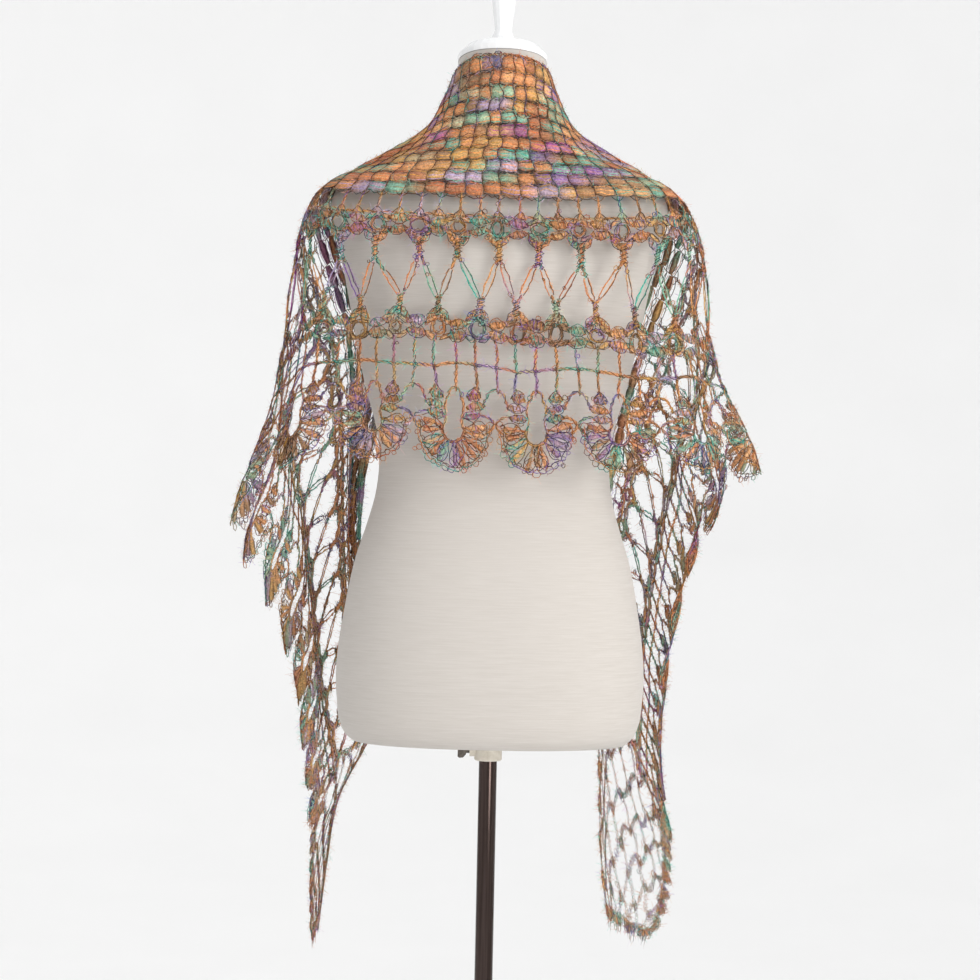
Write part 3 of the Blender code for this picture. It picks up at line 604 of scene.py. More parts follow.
def leaf(yarn, a, b, half, q, lift=0.0, shade=1.0, inner=2, fill=0.66):
    """A cluster of stitches from a to b: a soft body, two bowed outlines and strands worked to and fro."""
    count = len(a)
    half = spread(half, (count, 1))
    real = half * cross_scale(a, b)[:, None]
    q = np.broadcast_to(np.asarray(q, float), (count,))
    lift, shade = np.asarray(lift, float), np.asarray(shade, float)
    body = between(a, b, 4, bow=wobble(count, 0.8), lift=lift - 0.4)
    wide = real * LEAF * (fill * (1 - 0.35 * at_side(a)))[:, None]
    yarn.tube(body, wide, 0.26, q=q, shade=shade * (1 + wobble(count, 0.12)), rate=1 / 60, soft=0.42)
    # the two outlines are painted dark as shade, one darker than the other
    for part, tone in ((-1.0, 0.45), (1.0, 0.17)):
        bow = part * half * (1 + wobble(count, 0.22)[:, None])
        rim = between(a, b, 5, bow=bow, lift=lift + 0.1, rough=0.6)
        yarn.tube(rim, 0.52, q=q + 0.15 * part, shade=shade * tone, rate=1 / 60)
    n = 4 * inner + 2
    wave = real * 0.9 * np.sin(math.pi * np.linspace(0.07, 0.93, n)) ** 0.7
    # the first strand worked to and fro is painted dark as shade, the second lighter, near its dye
    for k, tone in enumerate((0.30, 1.05)[:inner]):
        line = between(a, b, n, lift=lift + 0.3 + 0.2 * k, wave=wave, turns=inner - 0.3 * k,
                       phase=wobble(count, 3.1), rough=0.45)
        yarn.tube(line, 0.442, q=q + 0.9 * (k + 1), shade=shade * tone, rate=1 / 30)


def ring(yarn, x, y, rx, ry, q, radius=0.45, shade=0.5, n=13, lift=0.1, first=0.0, last=1.0, rate=DYE_RATE,
         thick=None, soft=0.0, rough=0.3):
    """Round loops of yarn about (x, y), their size in chart millimetres."""
    count = len(x)
    t = np.linspace(first, last, n)[None, :] * 2 * math.pi
    real = 1 / SURFACE.scale(np.asarray(x, float), np.asarray(y, float))
    rx, ry = spread(rx, (count, n)), spread(ry, (count, n))
    px = np.asarray(x)[:, None] + rx * np.sin(t) + RNG.normal(0, rough, (count, n)) * real[:, :1]
    py = np.asarray(y)[:, None] - ry * np.cos(t) + RNG.normal(0, rough, (count, n)) * real[:, 1:]
    pz = np.broadcast_to(np.asarray(lift, float), (count, n)) + 0.25 * np.sin(3 * t)
    yarn.tube(np.stack((px, py, pz), axis=2), radius, thick, q=q, shade=shade, rate=rate, soft=soft)


def loops(yarn, x, y, size, q, n=7, shade=0.46, lift=0.1):
    """Small round picots of one real size."""
    real = 1 / SURFACE.scale(x, y)
    size = size * (1 + wobble(len(x), 0.32))
    ring(yarn, x, y, size * real[:, 0], size * real[:, 1], q, n=n, radius=0.48, shade=shade, lift=lift)


def curls(yarn, count, low, high, size=2.3):
    """Small loops of yarn where it is snagged up from its strands, between two posts on both sides."""
    spots = np.vstack([p[0].reshape(-1, 3) for p in yarn.parts])
    posts = np.abs(spots[:, 0]) / POST_MM
    spots = spots[(posts > low) & (posts < high)]
    spots = spots[RNG.integers(0, len(spots), count)]
    q = RNG.uniform(0, HASH_SPAN, count)
    x = spots[:, 0] + wobble(count, 1.8)
    y = spots[:, 1] + wobble(count, 1.8)
    # half the loops are painted dark as shade, half a little darker than their dye
    for part, shade in ((slice(0, count // 2), 0.22), (slice(count // 2, count), 0.8)):
        loops(yarn, x[part], y[part], size, q[part], shade=shade, lift=0.4)


def stack(x, y):
    x, y = np.broadcast_arrays(np.asarray(x, float), np.asarray(y, float))
    return np.stack((x.ravel(), y.ravel()), axis=1)


def hashed(*keys):
    """Repeatable numbers from 0 to 997 for whole-number places on the chart."""
    total = np.zeros_like(np.asarray(keys[0], float))
    for k, key in enumerate(keys):
        total = total + np.asarray(key, float) * (12.9898 + 65.233 * k)
    part = np.sin(total) * 43758.5453
    return (part - np.floor(part)) * HASH_SPAN


def astray(size, *keys):
    """A fixed random shift for whole-number places on the chart, up to size either way."""
    return (hashed(*keys) / HASH_SPAN - 0.5) * 2 * size


# bands of the lace

POSTS = np.arange(-MAIN_END, MAIN_END + 1)


def yoke_depth(posts):
    """The yoke's depth at the given posts, in millimetres."""
    return by_post(DEPTHS, posts) * 1000


def yoke_rows(posts, count):
    """Rows of the yoke's courses at the given posts, counted up from its lower edge; below 0 past the top."""
    return YOKE_END * (1 - count * YOKE_ROW_MM / yoke_depth(posts))


def yoke_top(posts):
    """The neck edge's row: a little lower at the back of the neck."""
    return 0.022 * np.clip(1.6 - np.abs(posts) / 6.0, 0, 1)


def yoke_blocks(yarn):
    posts = POSTS[:-1]
    top = yoke_top(posts + 0.5)
    for course in range(YOKE_COURSES):
        low = yoke_rows(posts + 0.5, course)
        high = yoke_rows(posts + 0.5, course + 1)
        full = low - high
        use = low - top > LEAST_BLOCK * full
        high = np.where(high - top < LEAST_BLOCK * full, top, high)
        if use.any():
            draw_blocks(yarn, posts[use], course, low[use] * ROW_MM, high[use] * ROW_MM)


def draw_blocks(yarn, posts, course, low, high):
    """Clusters that lie along the course: a soft body, strands along it painted dark as shade and light as
    highlights in turn, and bowed edges painted dark as shade.
    """
    count = len(posts)
    mid = (low + high) / 2
    real = SURFACE.scale((posts + 0.5) * POST_MM, mid)[:, 1]
    sway = 2.2 * np.sin(posts * 0.83 + course * 1.9) + 1.8 * np.sin(posts * 2.1 + course * 0.7)
    left = posts * POST_MM + column_shift(posts, course) + wobble(count, 0.5)
    right = (posts + 1) * POST_MM + column_shift(posts + 1, course) + wobble(count, 0.5)
    middle = mid + (0.5 * sway + wobble(count, 0.5)) / real
    slope = wobble(count, 1.4) / real
    half = (low - high) / 2 * (1 + wobble(count, 0.14))
    run = hashed([course] * count, np.zeros(count)) * 3
    q = run + (posts + 100) * 0.66 + wobble(count, 0.35)
    tone = 1 + wobble(count, 0.2)
    body = between(stack(left, middle - slope), stack(right, middle + slope), 4)
    thin = np.where(np.abs(posts + 0.5) > YOKE_THIN_FROM, YOKE_THIN, 1.0)
    wide = (half * real * thin)[:, None] * np.array((0.70, 1.06, 1.06, 0.70))[None, :]
    yarn.tube(body, wide, 0.16, q=q, shade=tone * 0.90, rate=1 / 60, soft=0.38)
    for level, painted_light, bow, turn in BLOCK_STRANDS:
        edge = painted_light < 0.2
        y = middle + half * level + wobble(count, 0.6) / real
        inset = 0.3 if edge else 1.2 + wobble(count, 0.8)
        a, b = stack(left + inset, y - slope), stack(right - inset, y + slope)
        lift = 0.05 if edge else 0.3 if painted_light > 1 else -0.25
        line = between(a, b, 5 if edge else 4, bow=(bow + wobble(count, 0.8)) / real, lift=lift, rough=0.9)
        radius = 0.48 if edge else 0.38
        yarn.tube(line, radius, q=q + turn + wobble(count, 0.5), shade=tone * painted_light, rate=1 / 45)


def column_shift(posts, course):
    """How far the blocks' ends lie from their post, to and fro along the yoke."""
    side = np.where(np.asarray(course) % 2 == 0, 1.0, -1.0)
    return 1.8 * side + astray(1.5, posts, 17) + astray(1.7, posts, course, 5)


def yoke_columns(yarn):
    """Zigzag stitches where the blocks of each course meet, painted dark as shade."""
    for post in POSTS:
        courses = float(yoke_depth(post)) / YOKE_ROW_MM
        n = max(3, int(round(2 * courses)) + 1)
        t = np.linspace(0, 1, n)
        top = float(yoke_top(np.array(post))) * ROW_MM
        y = top + (YOKE_END * ROW_MM - top) * t
        course = np.clip((1 - t) * courses, 0, 30)
        x = post * POST_MM + column_shift(np.full(n, post), np.floor(course)) + RNG.uniform(-1.1, 1.1, n)
        z = 0.6 + 0.2 * np.cos(2 * math.pi * course)
        yarn.tube(np.stack((x, y, z), axis=1)[None], 0.52, q=hashed(post, 7), shade=0.22, rate=1 / 30)


def edge_chain(yarn):
    """The chain along the neck edge, a post at a time."""
    points = stack(POSTS * POST_MM, yoke_top(POSTS) * ROW_MM + 0.5)
    chain(yarn, points[:-1], points[1:], 31.7 + (POSTS[:-1] + 200) * 0.45, lift=0.3, body=1.8)


def filet(yarn):
    """One row of tall posts with round windows between them."""
    posts = POSTS
    x = posts * POST_MM
    count = len(posts)
    top = YOKE_END * ROW_MM - 1
    end = FILET_END * ROW_MM
    lean = wobble(count, 2.0)
    q = hashed(posts, 3)
    # the posts' chains are painted somewhat dark, and their feet and heads below very dark, as shade
    chain(yarn, stack(x, top), stack(x + lean, end + 1), q, stitch=7.0, amp=1.2, radius=0.52, shade=0.62)
    for side in (-1, 1):
        a, b = stack(x + lean, end - 7), stack(x + side * 6.5, end + 3.0)
        foot = between(a, b, 4, bow=-side * 1.2, lift=0.2, rough=0.4)
        yarn.tube(foot, 0.6, q=q + 0.3, shade=0.24, rate=1 / 60)
        head = between(stack(x, top + 6), stack(x + side * 6.0, top + 0.5), 4, bow=side * 0.9, lift=0.2)
        yarn.tube(head, 0.55, q=q, shade=0.22, rate=0)
    heads = between(stack(x + lean, end - 8.5), stack(x + lean, end + 2), 4, lift=-0.1)
    yarn.tube(heads, np.array((0.7, 2.2, 4.2, 5.4))[None, :], 0.3, q=q + 0.3, rate=0, soft=0.4)
    a, b = stack(x[:-1] + 2, end + 1.5), stack(x[1:] - 2, end + 1.5)
    chain(yarn, a, b, q[:-1] + 0.6, bow=-2.4, amp=1.1, body=1.4)


def oval(yarn, x, y, rx, ry, q):
    """An open oval between clusters, its rim of strands over a soft band; the band is painted a little dark
    and the outer and inner strands very dark, as shade.
    """
    ring(yarn, x, y, rx, ry, q, radius=1.2, thick=0.3, rate=1 / 25, soft=0.42, lift=-0.35, rough=0.5, n=10)
    for grow, tone, thick in ((2.1, 0.17, 0.6), (0.6, 1.05, 0.45), (-1.2, 0.22, 0.5)):
        px = x + wobble(len(x), 0.5)
        ring(yarn, px, y, rx + grow, ry + grow, q + 0.3 * grow, radius=thick, shade=tone, rate=1 / 30,
             rough=1.05)


def shell_band(yarn, top, bottom, parity, seed):
    """Two rows of clusters: an oval at every stem and a pair of stacked clusters half a repeat on."""
    height = (bottom - top) * ROW_MM
    mid = (top + bottom) / 2 * ROW_MM
    stems = POSTS[POSTS % 2 == parity]
    x = stems * POST_MM + wobble(len(stems), 2.0)
    q = hashed(stems, seed)
    size = np.array([[6.4], [height * 0.31]]) * (1 + wobble(2 * len(x), 0.22).reshape(2, -1))
    wide, tall = size[..., None]
    oval(yarn, x, mid + wobble(len(x), 1.8), wide, tall, q)
    for side in (-1, 1):
        for level, reach, turn in ((-0.50, -0.14, 0.45), (0.48, 0.16, 0.95)):
            a = stack(x + side * 1.5, mid + height * level)
            b = stack(x + side * (13.0 + wobble(len(x), 1.2)), mid + height * reach + wobble(len(x), 1.4))
            leaf(yarn, a, b, 3.4 + wobble(len(x), 0.8), q + turn + 0.25 * side, inner=1, shade=0.95)
    others = POSTS[POSTS % 2 != parity]
    x = others * POST_MM + wobble(len(others), 1.0)
    q = hashed(others, seed + 2)
    for level, tone in ((-1, 1.0), (1, 0.94)):
        y = mid + level * height * 0.235 + wobble(len(x), 1.6)
        tilt = wobble(len(x), 3.4)
        a, b = stack(x - 10.0, y + tilt), stack(x + 10.0, y - tilt)
        half = height * (0.26 + wobble(len(x), 0.05))
        leaf(yarn, a, b, half, q + 0.8 * level, inner=3, shade=tone, lift=0.25)


def stem(yarn, a, b, q, wide):
    """A thick knotted cluster from a down to b, two of its wound strands painted dark as shade and one
    lighter as a highlight.
    """
    count = len(a)
    real = wide * SURFACE.scale(a[:, 0], (a[:, 1] + b[:, 1]) / 2)[:, :1] * (1 + wobble(count, 0.15)[:, None])
    lumps = np.array((1.05, 0.62, 0.98, 0.6, 0.9, 0.5, 0.7))
    yarn.tube(between(a, b, 7, lift=-0.3), real * lumps * 0.7, 0.5, q=q, rate=1 / 30, soft=0.35)
    for phase, tone, size in ((0.0, 0.17, 1.0), (2.2, 0.24, 0.85), (4.2, 1.1, 0.7)):
        swing = real * size * (1 + wobble(count, 0.25)[:, None])
        line = between(a, b, 13, wave=swing, turns=2.6, phase=phase + wobble(count, 0.8), lift=0.3, rough=0.6)
        yarn.tube(line, 0.56, q=q + 0.15 * phase, shade=tone, rate=1 / 40)


def stem_foot(posts):
    return stack(posts * POST_MM + astray(3.2, posts, 51), NET_NODE * ROW_MM + astray(4.0, posts, 52))


def join_head(posts):
    return stack(posts * POST_MM + astray(3.2, posts, 53), NET_JOIN * ROW_MM + astray(4.0, posts, 54))


def net_legs(yarn, posts, side, q):
    """Long narrow loops from the foot of each stem to the next stem's head, half a repeat on."""
    count = len(posts)
    a = stem_foot(posts) + np.array((side * 1.4, -2.0))
    b = join_head(posts + side) + np.array((-side * 1.4, 1.5))
    knot = a + (b - a) * (0.22 + wobble(count, 0.13))[:, None]
    chain(yarn, a, knot, q, stitch=4.5, amp=1.9, radius=0.55, body=1.5)
    end = knot + (b - knot) * (0.84 + wobble(count, 0.10))[:, None]
    way = unit(end - knot)
    over = np.stack((-way[:, 1], way[:, 0]), axis=1)
    apart = (1.7 + wobble(count, 0.5))[:, None]
    # one strand of each pair is painted dark as shade, the other a little lighter than its dye as a highlight
    for part, tone in ((-1.0, 0.24), (1.0, 1.1)):
        near, far = knot + part * apart * over, end + part * apart * over
        bow = part * 0.8 + wobble(count, 0.8)
        line = between(near, far, 8, bow=bow, lift=0.1 * part, wave=0.4, turns=2.0, rough=0.45)
        yarn.tube(line, 0.64, q=q + 0.75, shade=tone, rate=1 / 110)
        fill = between(near, far, 4, bow=part * 0.8, lift=-0.2)
        yarn.tube(fill, np.array((0.3, 0.5, 0.5, 0.3))[None, :], 0.2, q=q + 0.75, rate=1 / 110, soft=0.35)
    chain(yarn, end, b, q + 1.2, stitch=3.5, amp=1.7, radius=0.55, body=1.5)


def open_net(yarn):
    """Stems that part into long legs and join again half a repeat on."""
    heads = POSTS[POSTS % 2 == 0]
    x = heads * POST_MM
    q = hashed(heads, 11)
    top = SHELL_END * ROW_MM
    for side in (-1, 1):
        a, b = stack(x + side * 11.5, top - 5.0), stack(x + side * 1.6 + astray(1.6, heads, 51), top + 9.0)
        leaf(yarn, a, b, 3.4, q + 0.6 * side)
    stem(yarn, stack(x + astray(1.0, heads, 51), top + 1.0), stem_foot(heads), q, 4.1)
    for side in (-1, 1):
        use = np.abs(heads + side) <= MAIN_END
        net_legs(yarn, heads[use], side, q[use] + 0.7 + 0.9 * side)
    joins = POSTS[POSTS % 2 != 0]
    x = joins * POST_MM
    q = hashed(joins, 12)
    end = NET_END * ROW_MM
    stem(yarn, join_head(joins), stack(x + astray(1.0, joins, 53), end), q, 3.7)
    for side in (-1, 1):
        a, b = stack(x + side * 1.2 + astray(1.6, joins, 53), end - 9.0), stack(x + side * 11.5, end + 4.5)
        leaf(yarn, a, b, 3.2, q + 0.6 * side)


def ladder(yarn):
    """Two rows of posts with a wavy chain across."""
    x = POSTS * POST_MM
    count = len(POSTS)
    dip = 2.6 * np.sin(POSTS * 1.1) + wobble(count, 1.4)
    q = hashed(POSTS, 21)
    top = stack(x + wobble(count, 2.6), LOWER_SHELL_END * ROW_MM - 4)
    knot = stack(x + wobble(count, 2.0), LADDER_CHAIN * ROW_MM + dip)
    foot = stack(x + wobble(count, 2.6), LADDER_END * ROW_MM + 2)
    for a, b, turn in ((top, knot, 0.0), (knot, foot, 1.3)):
        chain(yarn, a, b, q + turn, amp=1.4, radius=0.52, bow=wobble(count, 1.6))
    chain(yarn, knot[:-1], knot[1:], q[:-1] + 2.4, amp=1.5, bow=-1.2, radius=0.55, body=1.6)
    # the knots' picots are painted dark as shade
    loops(yarn, knot[:, 0], knot[:, 1], 2.1, q + 2.0, shade=0.22, lift=0.35)


def fan_posts():
    return POSTS[POSTS % 4 == 2]


def pineapple(yarn):
    """Below the ladder: arches from every post, stacked clusters beside each fan and open cells between."""
    centres = fan_posts()
    x = centres * POST_MM
    count = len(x)
    top = LADDER_END * ROW_MM
    q = hashed(centres, 31)
    for side in (-1, 1):
        peak = stack(x + side * 18.5, top - 3.0)
        for k, (off, level, reach, half) in enumerate(CLUSTER_STACK):
            cx = x + side * off + wobble(count, 1.2)
            tilt = 1.4 * side + wobble(count, 1.4)
            a, b = stack(cx - reach, top + level + tilt), stack(cx + reach, top + level - tilt)
            leaf(yarn, a, b, half, q + 1.1 * k + 1.7 * side, inner=3, shade=0.98)
        # the arches down from each peak are painted dark as shade
        for way in (-1, 1):
            foot = stack(x + side * 18.5 + way * 7.0, top + 7.0)
            line = between(peak, foot, 4, bow=-way * 1.2, lift=0.2, rough=0.4)
            yarn.tube(line, 0.55, q=q + side, shade=0.20, rate=0)
        for (xa, ya), (xb, yb), turn, bow in FAN_LINKS:
            a, b = stack(x + side * xa, top + ya), stack(x + side * (xb + wobble(count, 0.8)), top + yb)
            chain(yarn, a, b, q + turn * 3 * side, bow=side * bow, radius=0.52, amp=1.3)


def fan(yarn, x, y, q, inner, outer, start, petals, spread_deg, height, loop=3.5):
    """Narrow clusters that fan out from (x, y), with small loops along and between their tips."""
    angles = np.radians(np.linspace(-spread_deg, spread_deg, petals)) + start
    count = len(x)
    t = np.linspace(0, 1, 6)[None, :]
    swell = np.sin(np.pi * np.clip(t, 0.04, 0.96) ** 1.6) ** 0.8
    half = outer * 2 * spread_deg / petals * math.pi / 180 * 0.44
    scale = SURFACE.scale(x, y)
    for k, angle in enumerate(angles):
        reach = outer * (0.95 + wobble(count, 0.10))
        sway = angle + wobble(count, 0.11)
        colour = q + (k // 2) * 1.37 + wobble(count, 0.6)
        sin, cos = np.sin(sway)[:, None], np.cos(sway)[:, None]
        along = inner + (reach - inner)[:, None] * t
        # the petals' edges are painted dark as shade
        for side, tone in ((-1, 0.17), (1, 0.24)):
            across = side * half * swell * (1 + wobble(count, 0.3)[:, None])
            px = x[:, None] + along * sin + across * cos + RNG.normal(0, 0.5, (count, 6))
            py = y[:, None] + (along * cos - across * sin) * height + RNG.normal(0, 0.5, (count, 6))
            pz = np.full_like(px, 0.15 + 0.12 * side)
            yarn.tube(np.stack((px, py, pz), axis=2), 0.54, q=colour + 0.2 * side, shade=tone, rate=1 / 60)
        root = np.stack((x + inner * np.sin(sway), y + inner * np.cos(sway) * height), axis=1)
        tip = np.stack((x + reach * 0.96 * np.sin(sway), y + reach * 0.96 * np.cos(sway) * height), axis=1)
        real = half * np.hypot(cos * scale[:, :1], sin * height * scale[:, 1:])
        profile = np.array((0.10, 0.26, 0.46, 0.40)) * (1 + wobble(count, 0.25)[:, None])
        yarn.tube(between(root, tip, 4, lift=-0.35), real * profile, 0.22, q=colour, rate=1 / 60, soft=0.45)
        wave = real * np.array((0.1, 0.4, 0.7, 0.95, 0.95, 0.8, 0.4))
        # one vein is painted dark as shade, the other a little lighter than its dye as a highlight
        for turns, tone in ((1.6, 0.26), (1.1, 1.1)):
            phase = wobble(count, 3.0)
            vein = between(root, tip, 7, lift=0.35, wave=wave, turns=turns, phase=phase, rough=0.5)
            yarn.tube(vein, 0.46, q=colour + 0.3 * turns, shade=tone, rate=1 / 50)
    rim_loops(yarn, x, y, q, outer, angles, height, loop)


def rim_loops(yarn, x, y, q, outer, angles, height, loop):
    """Picots along the tips of a fan, on chains that join them."""
    tips = np.linspace(angles[0], angles[-1], 2 * len(angles) - 1)
    count = len(x)
    for k, angle in enumerate(tips):
        out = outer * (0.94 if k % 2 else 1.0) + wobble(count, 1.6)
        sway = angle + wobble(count, 0.035)
        px = x + out * np.sin(sway)
        py = y + out * np.cos(sway) * height
        # the picots are painted dark as shade and lighter in turn
        loops(yarn, px, py, loop, q + k * 0.37, n=8, shade=0.24 if k % 2 else 0.62)
    n = 3 * len(angles)
    t = np.linspace(angles[0], angles[-1], n)[None, :]
    # the inner of the rim's two chains is painted dark as shade
    for level, tone in ((0.90, 0.2), (0.97, 0.9)):
        out = outer * level + RNG.normal(0, 0.8, (count, n))
        px, py = x[:, None] + out * np.sin(t), y[:, None] + out * np.cos(t) * height
        yarn.tube(np.stack((px, py, 0.3 + 0 * out), axis=2), 0.52, q=q + level * 9, shade=tone, rate=1 / 40)


def scallops(yarn):
    """A fan at every fourth post, about a round hole."""
    centres = fan_posts()
    x = centres * POST_MM
    y = np.full(len(x), FAN_ROW * ROW_MM)
    q = hashed(centres, 41)
    squash = (0.998 - FAN_ROW) * ROW_MM * 0.92 / 38.0
    fan(yarn, x, y, q, 11.0, 35.5, 0.0, 11, 100, squash)
    # the rings about the hole are painted dark as shade
    for radius, turn in ((11.6, 0.4), (9.8, 0.9)):
        ring(yarn, x, y, radius, radius * squash, q + turn, n=15, radius=0.55, shade=0.2, first=0.20,
             last=0.80, rough=0.5)
    ring(yarn, x, y, 10.8, 10.8 * squash, q + 0.4, radius=1.4, thick=0.25, shade=1.0, soft=0.4, lift=-0.3,
         first=0.21, last=0.79, rough=0.15)


def tail_tufts(yarn, sign, row, start, seed, step, size):
    """Tufts of petals along one long edge of a tail."""
    along = np.arange(MAIN_END + 0.8, TAIL_END - 0.2, step)
    x = sign * (along + wobble(len(along), 0.2)) * POST_MM
    y = np.full(len(x), row * ROW_MM)
    q = hashed(np.round(along * 7), seed)
    fan(yarn, x, y, q, 2.0, size, start, 5, 95, 2.4, loop=2.7)


def tail_net(yarn, sign):
    """Elongated diamonds along the tail, of twisted chains with a knot at every corner."""
    step = (TAIL_BOTTOM - TAIL_TOP) / TAIL_COLUMNS
    length = (TAIL_END - MAIN_END + 0.4) / TAIL_LENGTHS
    for row in range(TAIL_LENGTHS):
        near = MAIN_END - 0.4 + row * length
        far = near + length
        odd = row % 2
        cells = np.arange(TAIL_COLUMNS + 1 - odd)
        across = TAIL_TOP + step * (cells + 0.5 * odd)
        for side in (-1, 1):
            end = across + side * 0.5 * step
            use = (end > TAIL_TOP - 0.01) & (end < TAIL_BOTTOM + 0.01)
            count = int(use.sum())
            a = stack(sign * (near + wobble(count, 0.22)) * POST_MM, (across[use] + 0.012 * side) * ROW_MM)
            b = stack(sign * (far + wobble(count, 0.22)) * POST_MM, (end[use] - 0.012 * side) * ROW_MM)
            q = hashed(cells[use] + 50 * row, 61 + side + 5 * sign)
            chain(yarn, a, b, q, stitch=4.2, amp=1.8, radius=0.46, bow=side * wobble(count, 12.0), body=0)
        knots = hashed(cells + 9 * row, 67)
        a = stack(sign * (near - 0.36) * POST_MM, across * ROW_MM)
        b = stack(sign * (near + 0.36) * POST_MM, (across + wobble(len(cells), 0.03)) * ROW_MM)
        leaf(yarn, a, b, 8.0 + wobble(len(cells), 3.0), knots, lift=0.3, shade=0.8, fill=0.2)


def tail_edge(yarn, sign, row, seed):
    posts = np.arange(MAIN_END, TAIL_END)
    a = stack(sign * posts * POST_MM, row * ROW_MM)
    b = stack(sign * (posts + 1) * POST_MM, row * ROW_MM)
    chain(yarn, a, b, hashed(posts, seed), stitch=4.2, amp=1.8, radius=0.46, body=0)


def tail_end(yarn, sign):
    """The tip of a tail: tufts along its short lower edge."""
    rows = np.array((0.14, 0.36, 0.58, 0.80))
    x = np.full(len(rows), sign * (TAIL_END - 0.5) * POST_MM)
    y = rows * ROW_MM
    q = hashed(np.arange(len(rows)), 91 + sign)
    fan(yarn, x, y, q, 2.0, 12.5, sign * math.pi / 2, 5, 95, 3.6, loop=2.8)


# loose fibres

def strand_steps(yarn):
    """Every short step of the yarn: its ends, normal, colour, half width and whether it is a soft body."""
    ends, normals, tints, widths, soft = [], [], [], [], []
    for (line, normal, wide, thick, colour, _), part in zip(yarn.laid(), yarn.parts):
        ends.append(np.stack((line[:, :-1], line[:, 1:]), axis=2).reshape(-1, 2, 3))
        normals.append(normal[:, :-1].reshape(-1, 3))
        tints.append(colour[:, :-1].reshape(-1, 3))
        widths.append(((wide[:, :-1] + wide[:, 1:]) / 2).ravel())
        soft.append(np.full(widths[-1].shape, part[4] > 0))
    return np.vstack(ends), np.vstack(normals), np.vstack(tints), np.concatenate(widths), np.concatenate(soft)


def fibre_roots(ends, weight, count):
    """Random places along the steps, picked by weight: the step, the place and the yarn's way there."""
    pick = RNG.choice(len(weight), count, p=weight / weight.sum())
    t = RNG.random((count, 1))
    root = ends[pick, 0] * (1 - t) + ends[pick, 1] * t
    return pick, root, unit(ends[pick, 1] - ends[pick, 0])


def fill_fibres(steps, count):
    """Fibres that lie along the soft bodies, as straight slips of one face."""
    ends, normals, tints, widths, soft = steps
    weight = np.linalg.norm(ends[:, 1] - ends[:, 0], axis=1) * widths * soft
    pick, root, along = fibre_roots(ends, weight, count)
    normal = normals[pick]
    side = unit(np.cross(along, normal))
    root = root + side * RNG.uniform(-1.25, 1.25, (count, 1)) * widths[pick, None]
    off = normal * RNG.uniform(0.0002, 0.0010, (count, 1))
    root = root + off * np.where(RNG.random((count, 1)) < 0.8, 1, -1)
    turn = RNG.normal(0, 0.45, (count, 1))
    way = along * np.cos(turn) + side * np.sin(turn)
    reach = way * RNG.uniform(*FILL_REACH, (count, 1))
    wide = unit(np.cross(way, normal)) * RNG.uniform(*FILL_HALF_WIDTH, (count, 1))
    corners = (root - reach - wide * 0.5, root - reach + wide * 0.5, root + reach + wide, root + reach - wide)
    return np.stack(corners, axis=1).reshape(-1, 3), tints[pick] * RNG.uniform(0.55, 1.55, (count, 1))


def halo_fibres(steps, count):
    """Fine fibres that stand off the yarn, painted a little lighter than it for the light that shines through
    them.
    """
    ends, normals, tints = steps[:3]
    pick, root, along = fibre_roots(ends, np.linalg.norm(ends[:, 1] - ends[:, 0], axis=1), count)
    side = np.cross(along, normals[pick])
    turn = RNG.uniform(0, 2 * math.pi, (count, 1))
    way = unit(along * np.cos(turn) + side * np.sin(turn) + normals[pick] * RNG.normal(0.0, 0.5, (count, 1)))
    tip = root + way * RNG.uniform(*HALO_LENGTH, (count, 1))
    wide = unit(np.cross(way, normals[pick] + RNG.normal(0, 0.4, (count, 3)))) * HALO_HALF_WIDTH
    corners = (root - wide, root + wide, tip + wide * 0.5, tip - wide * 0.5)
    tint = tints[pick]
    # painted light: the fibres' colour is lifted towards a pale tint of the dye
    tint = tint / (tint.max(axis=1, keepdims=True) + 1e-9) * 0.52 + 0.14
    return np.stack(corners, axis=1).reshape(-1, 3), tint


def fluff(name, yarn, fill, halo, material):
    """The loose mohair of one band, in one mesh."""
    steps = strand_steps(yarn)
    points, tints = zip(fill_fibres(steps, fill), halo_fibres(steps, halo))
    points = np.vstack(points)
    quads = np.arange(len(points)).reshape(-1, 4)
    return make_mesh(name, points, quads, np.repeat(np.vstack(tints), 4, axis=0), material)


# materials

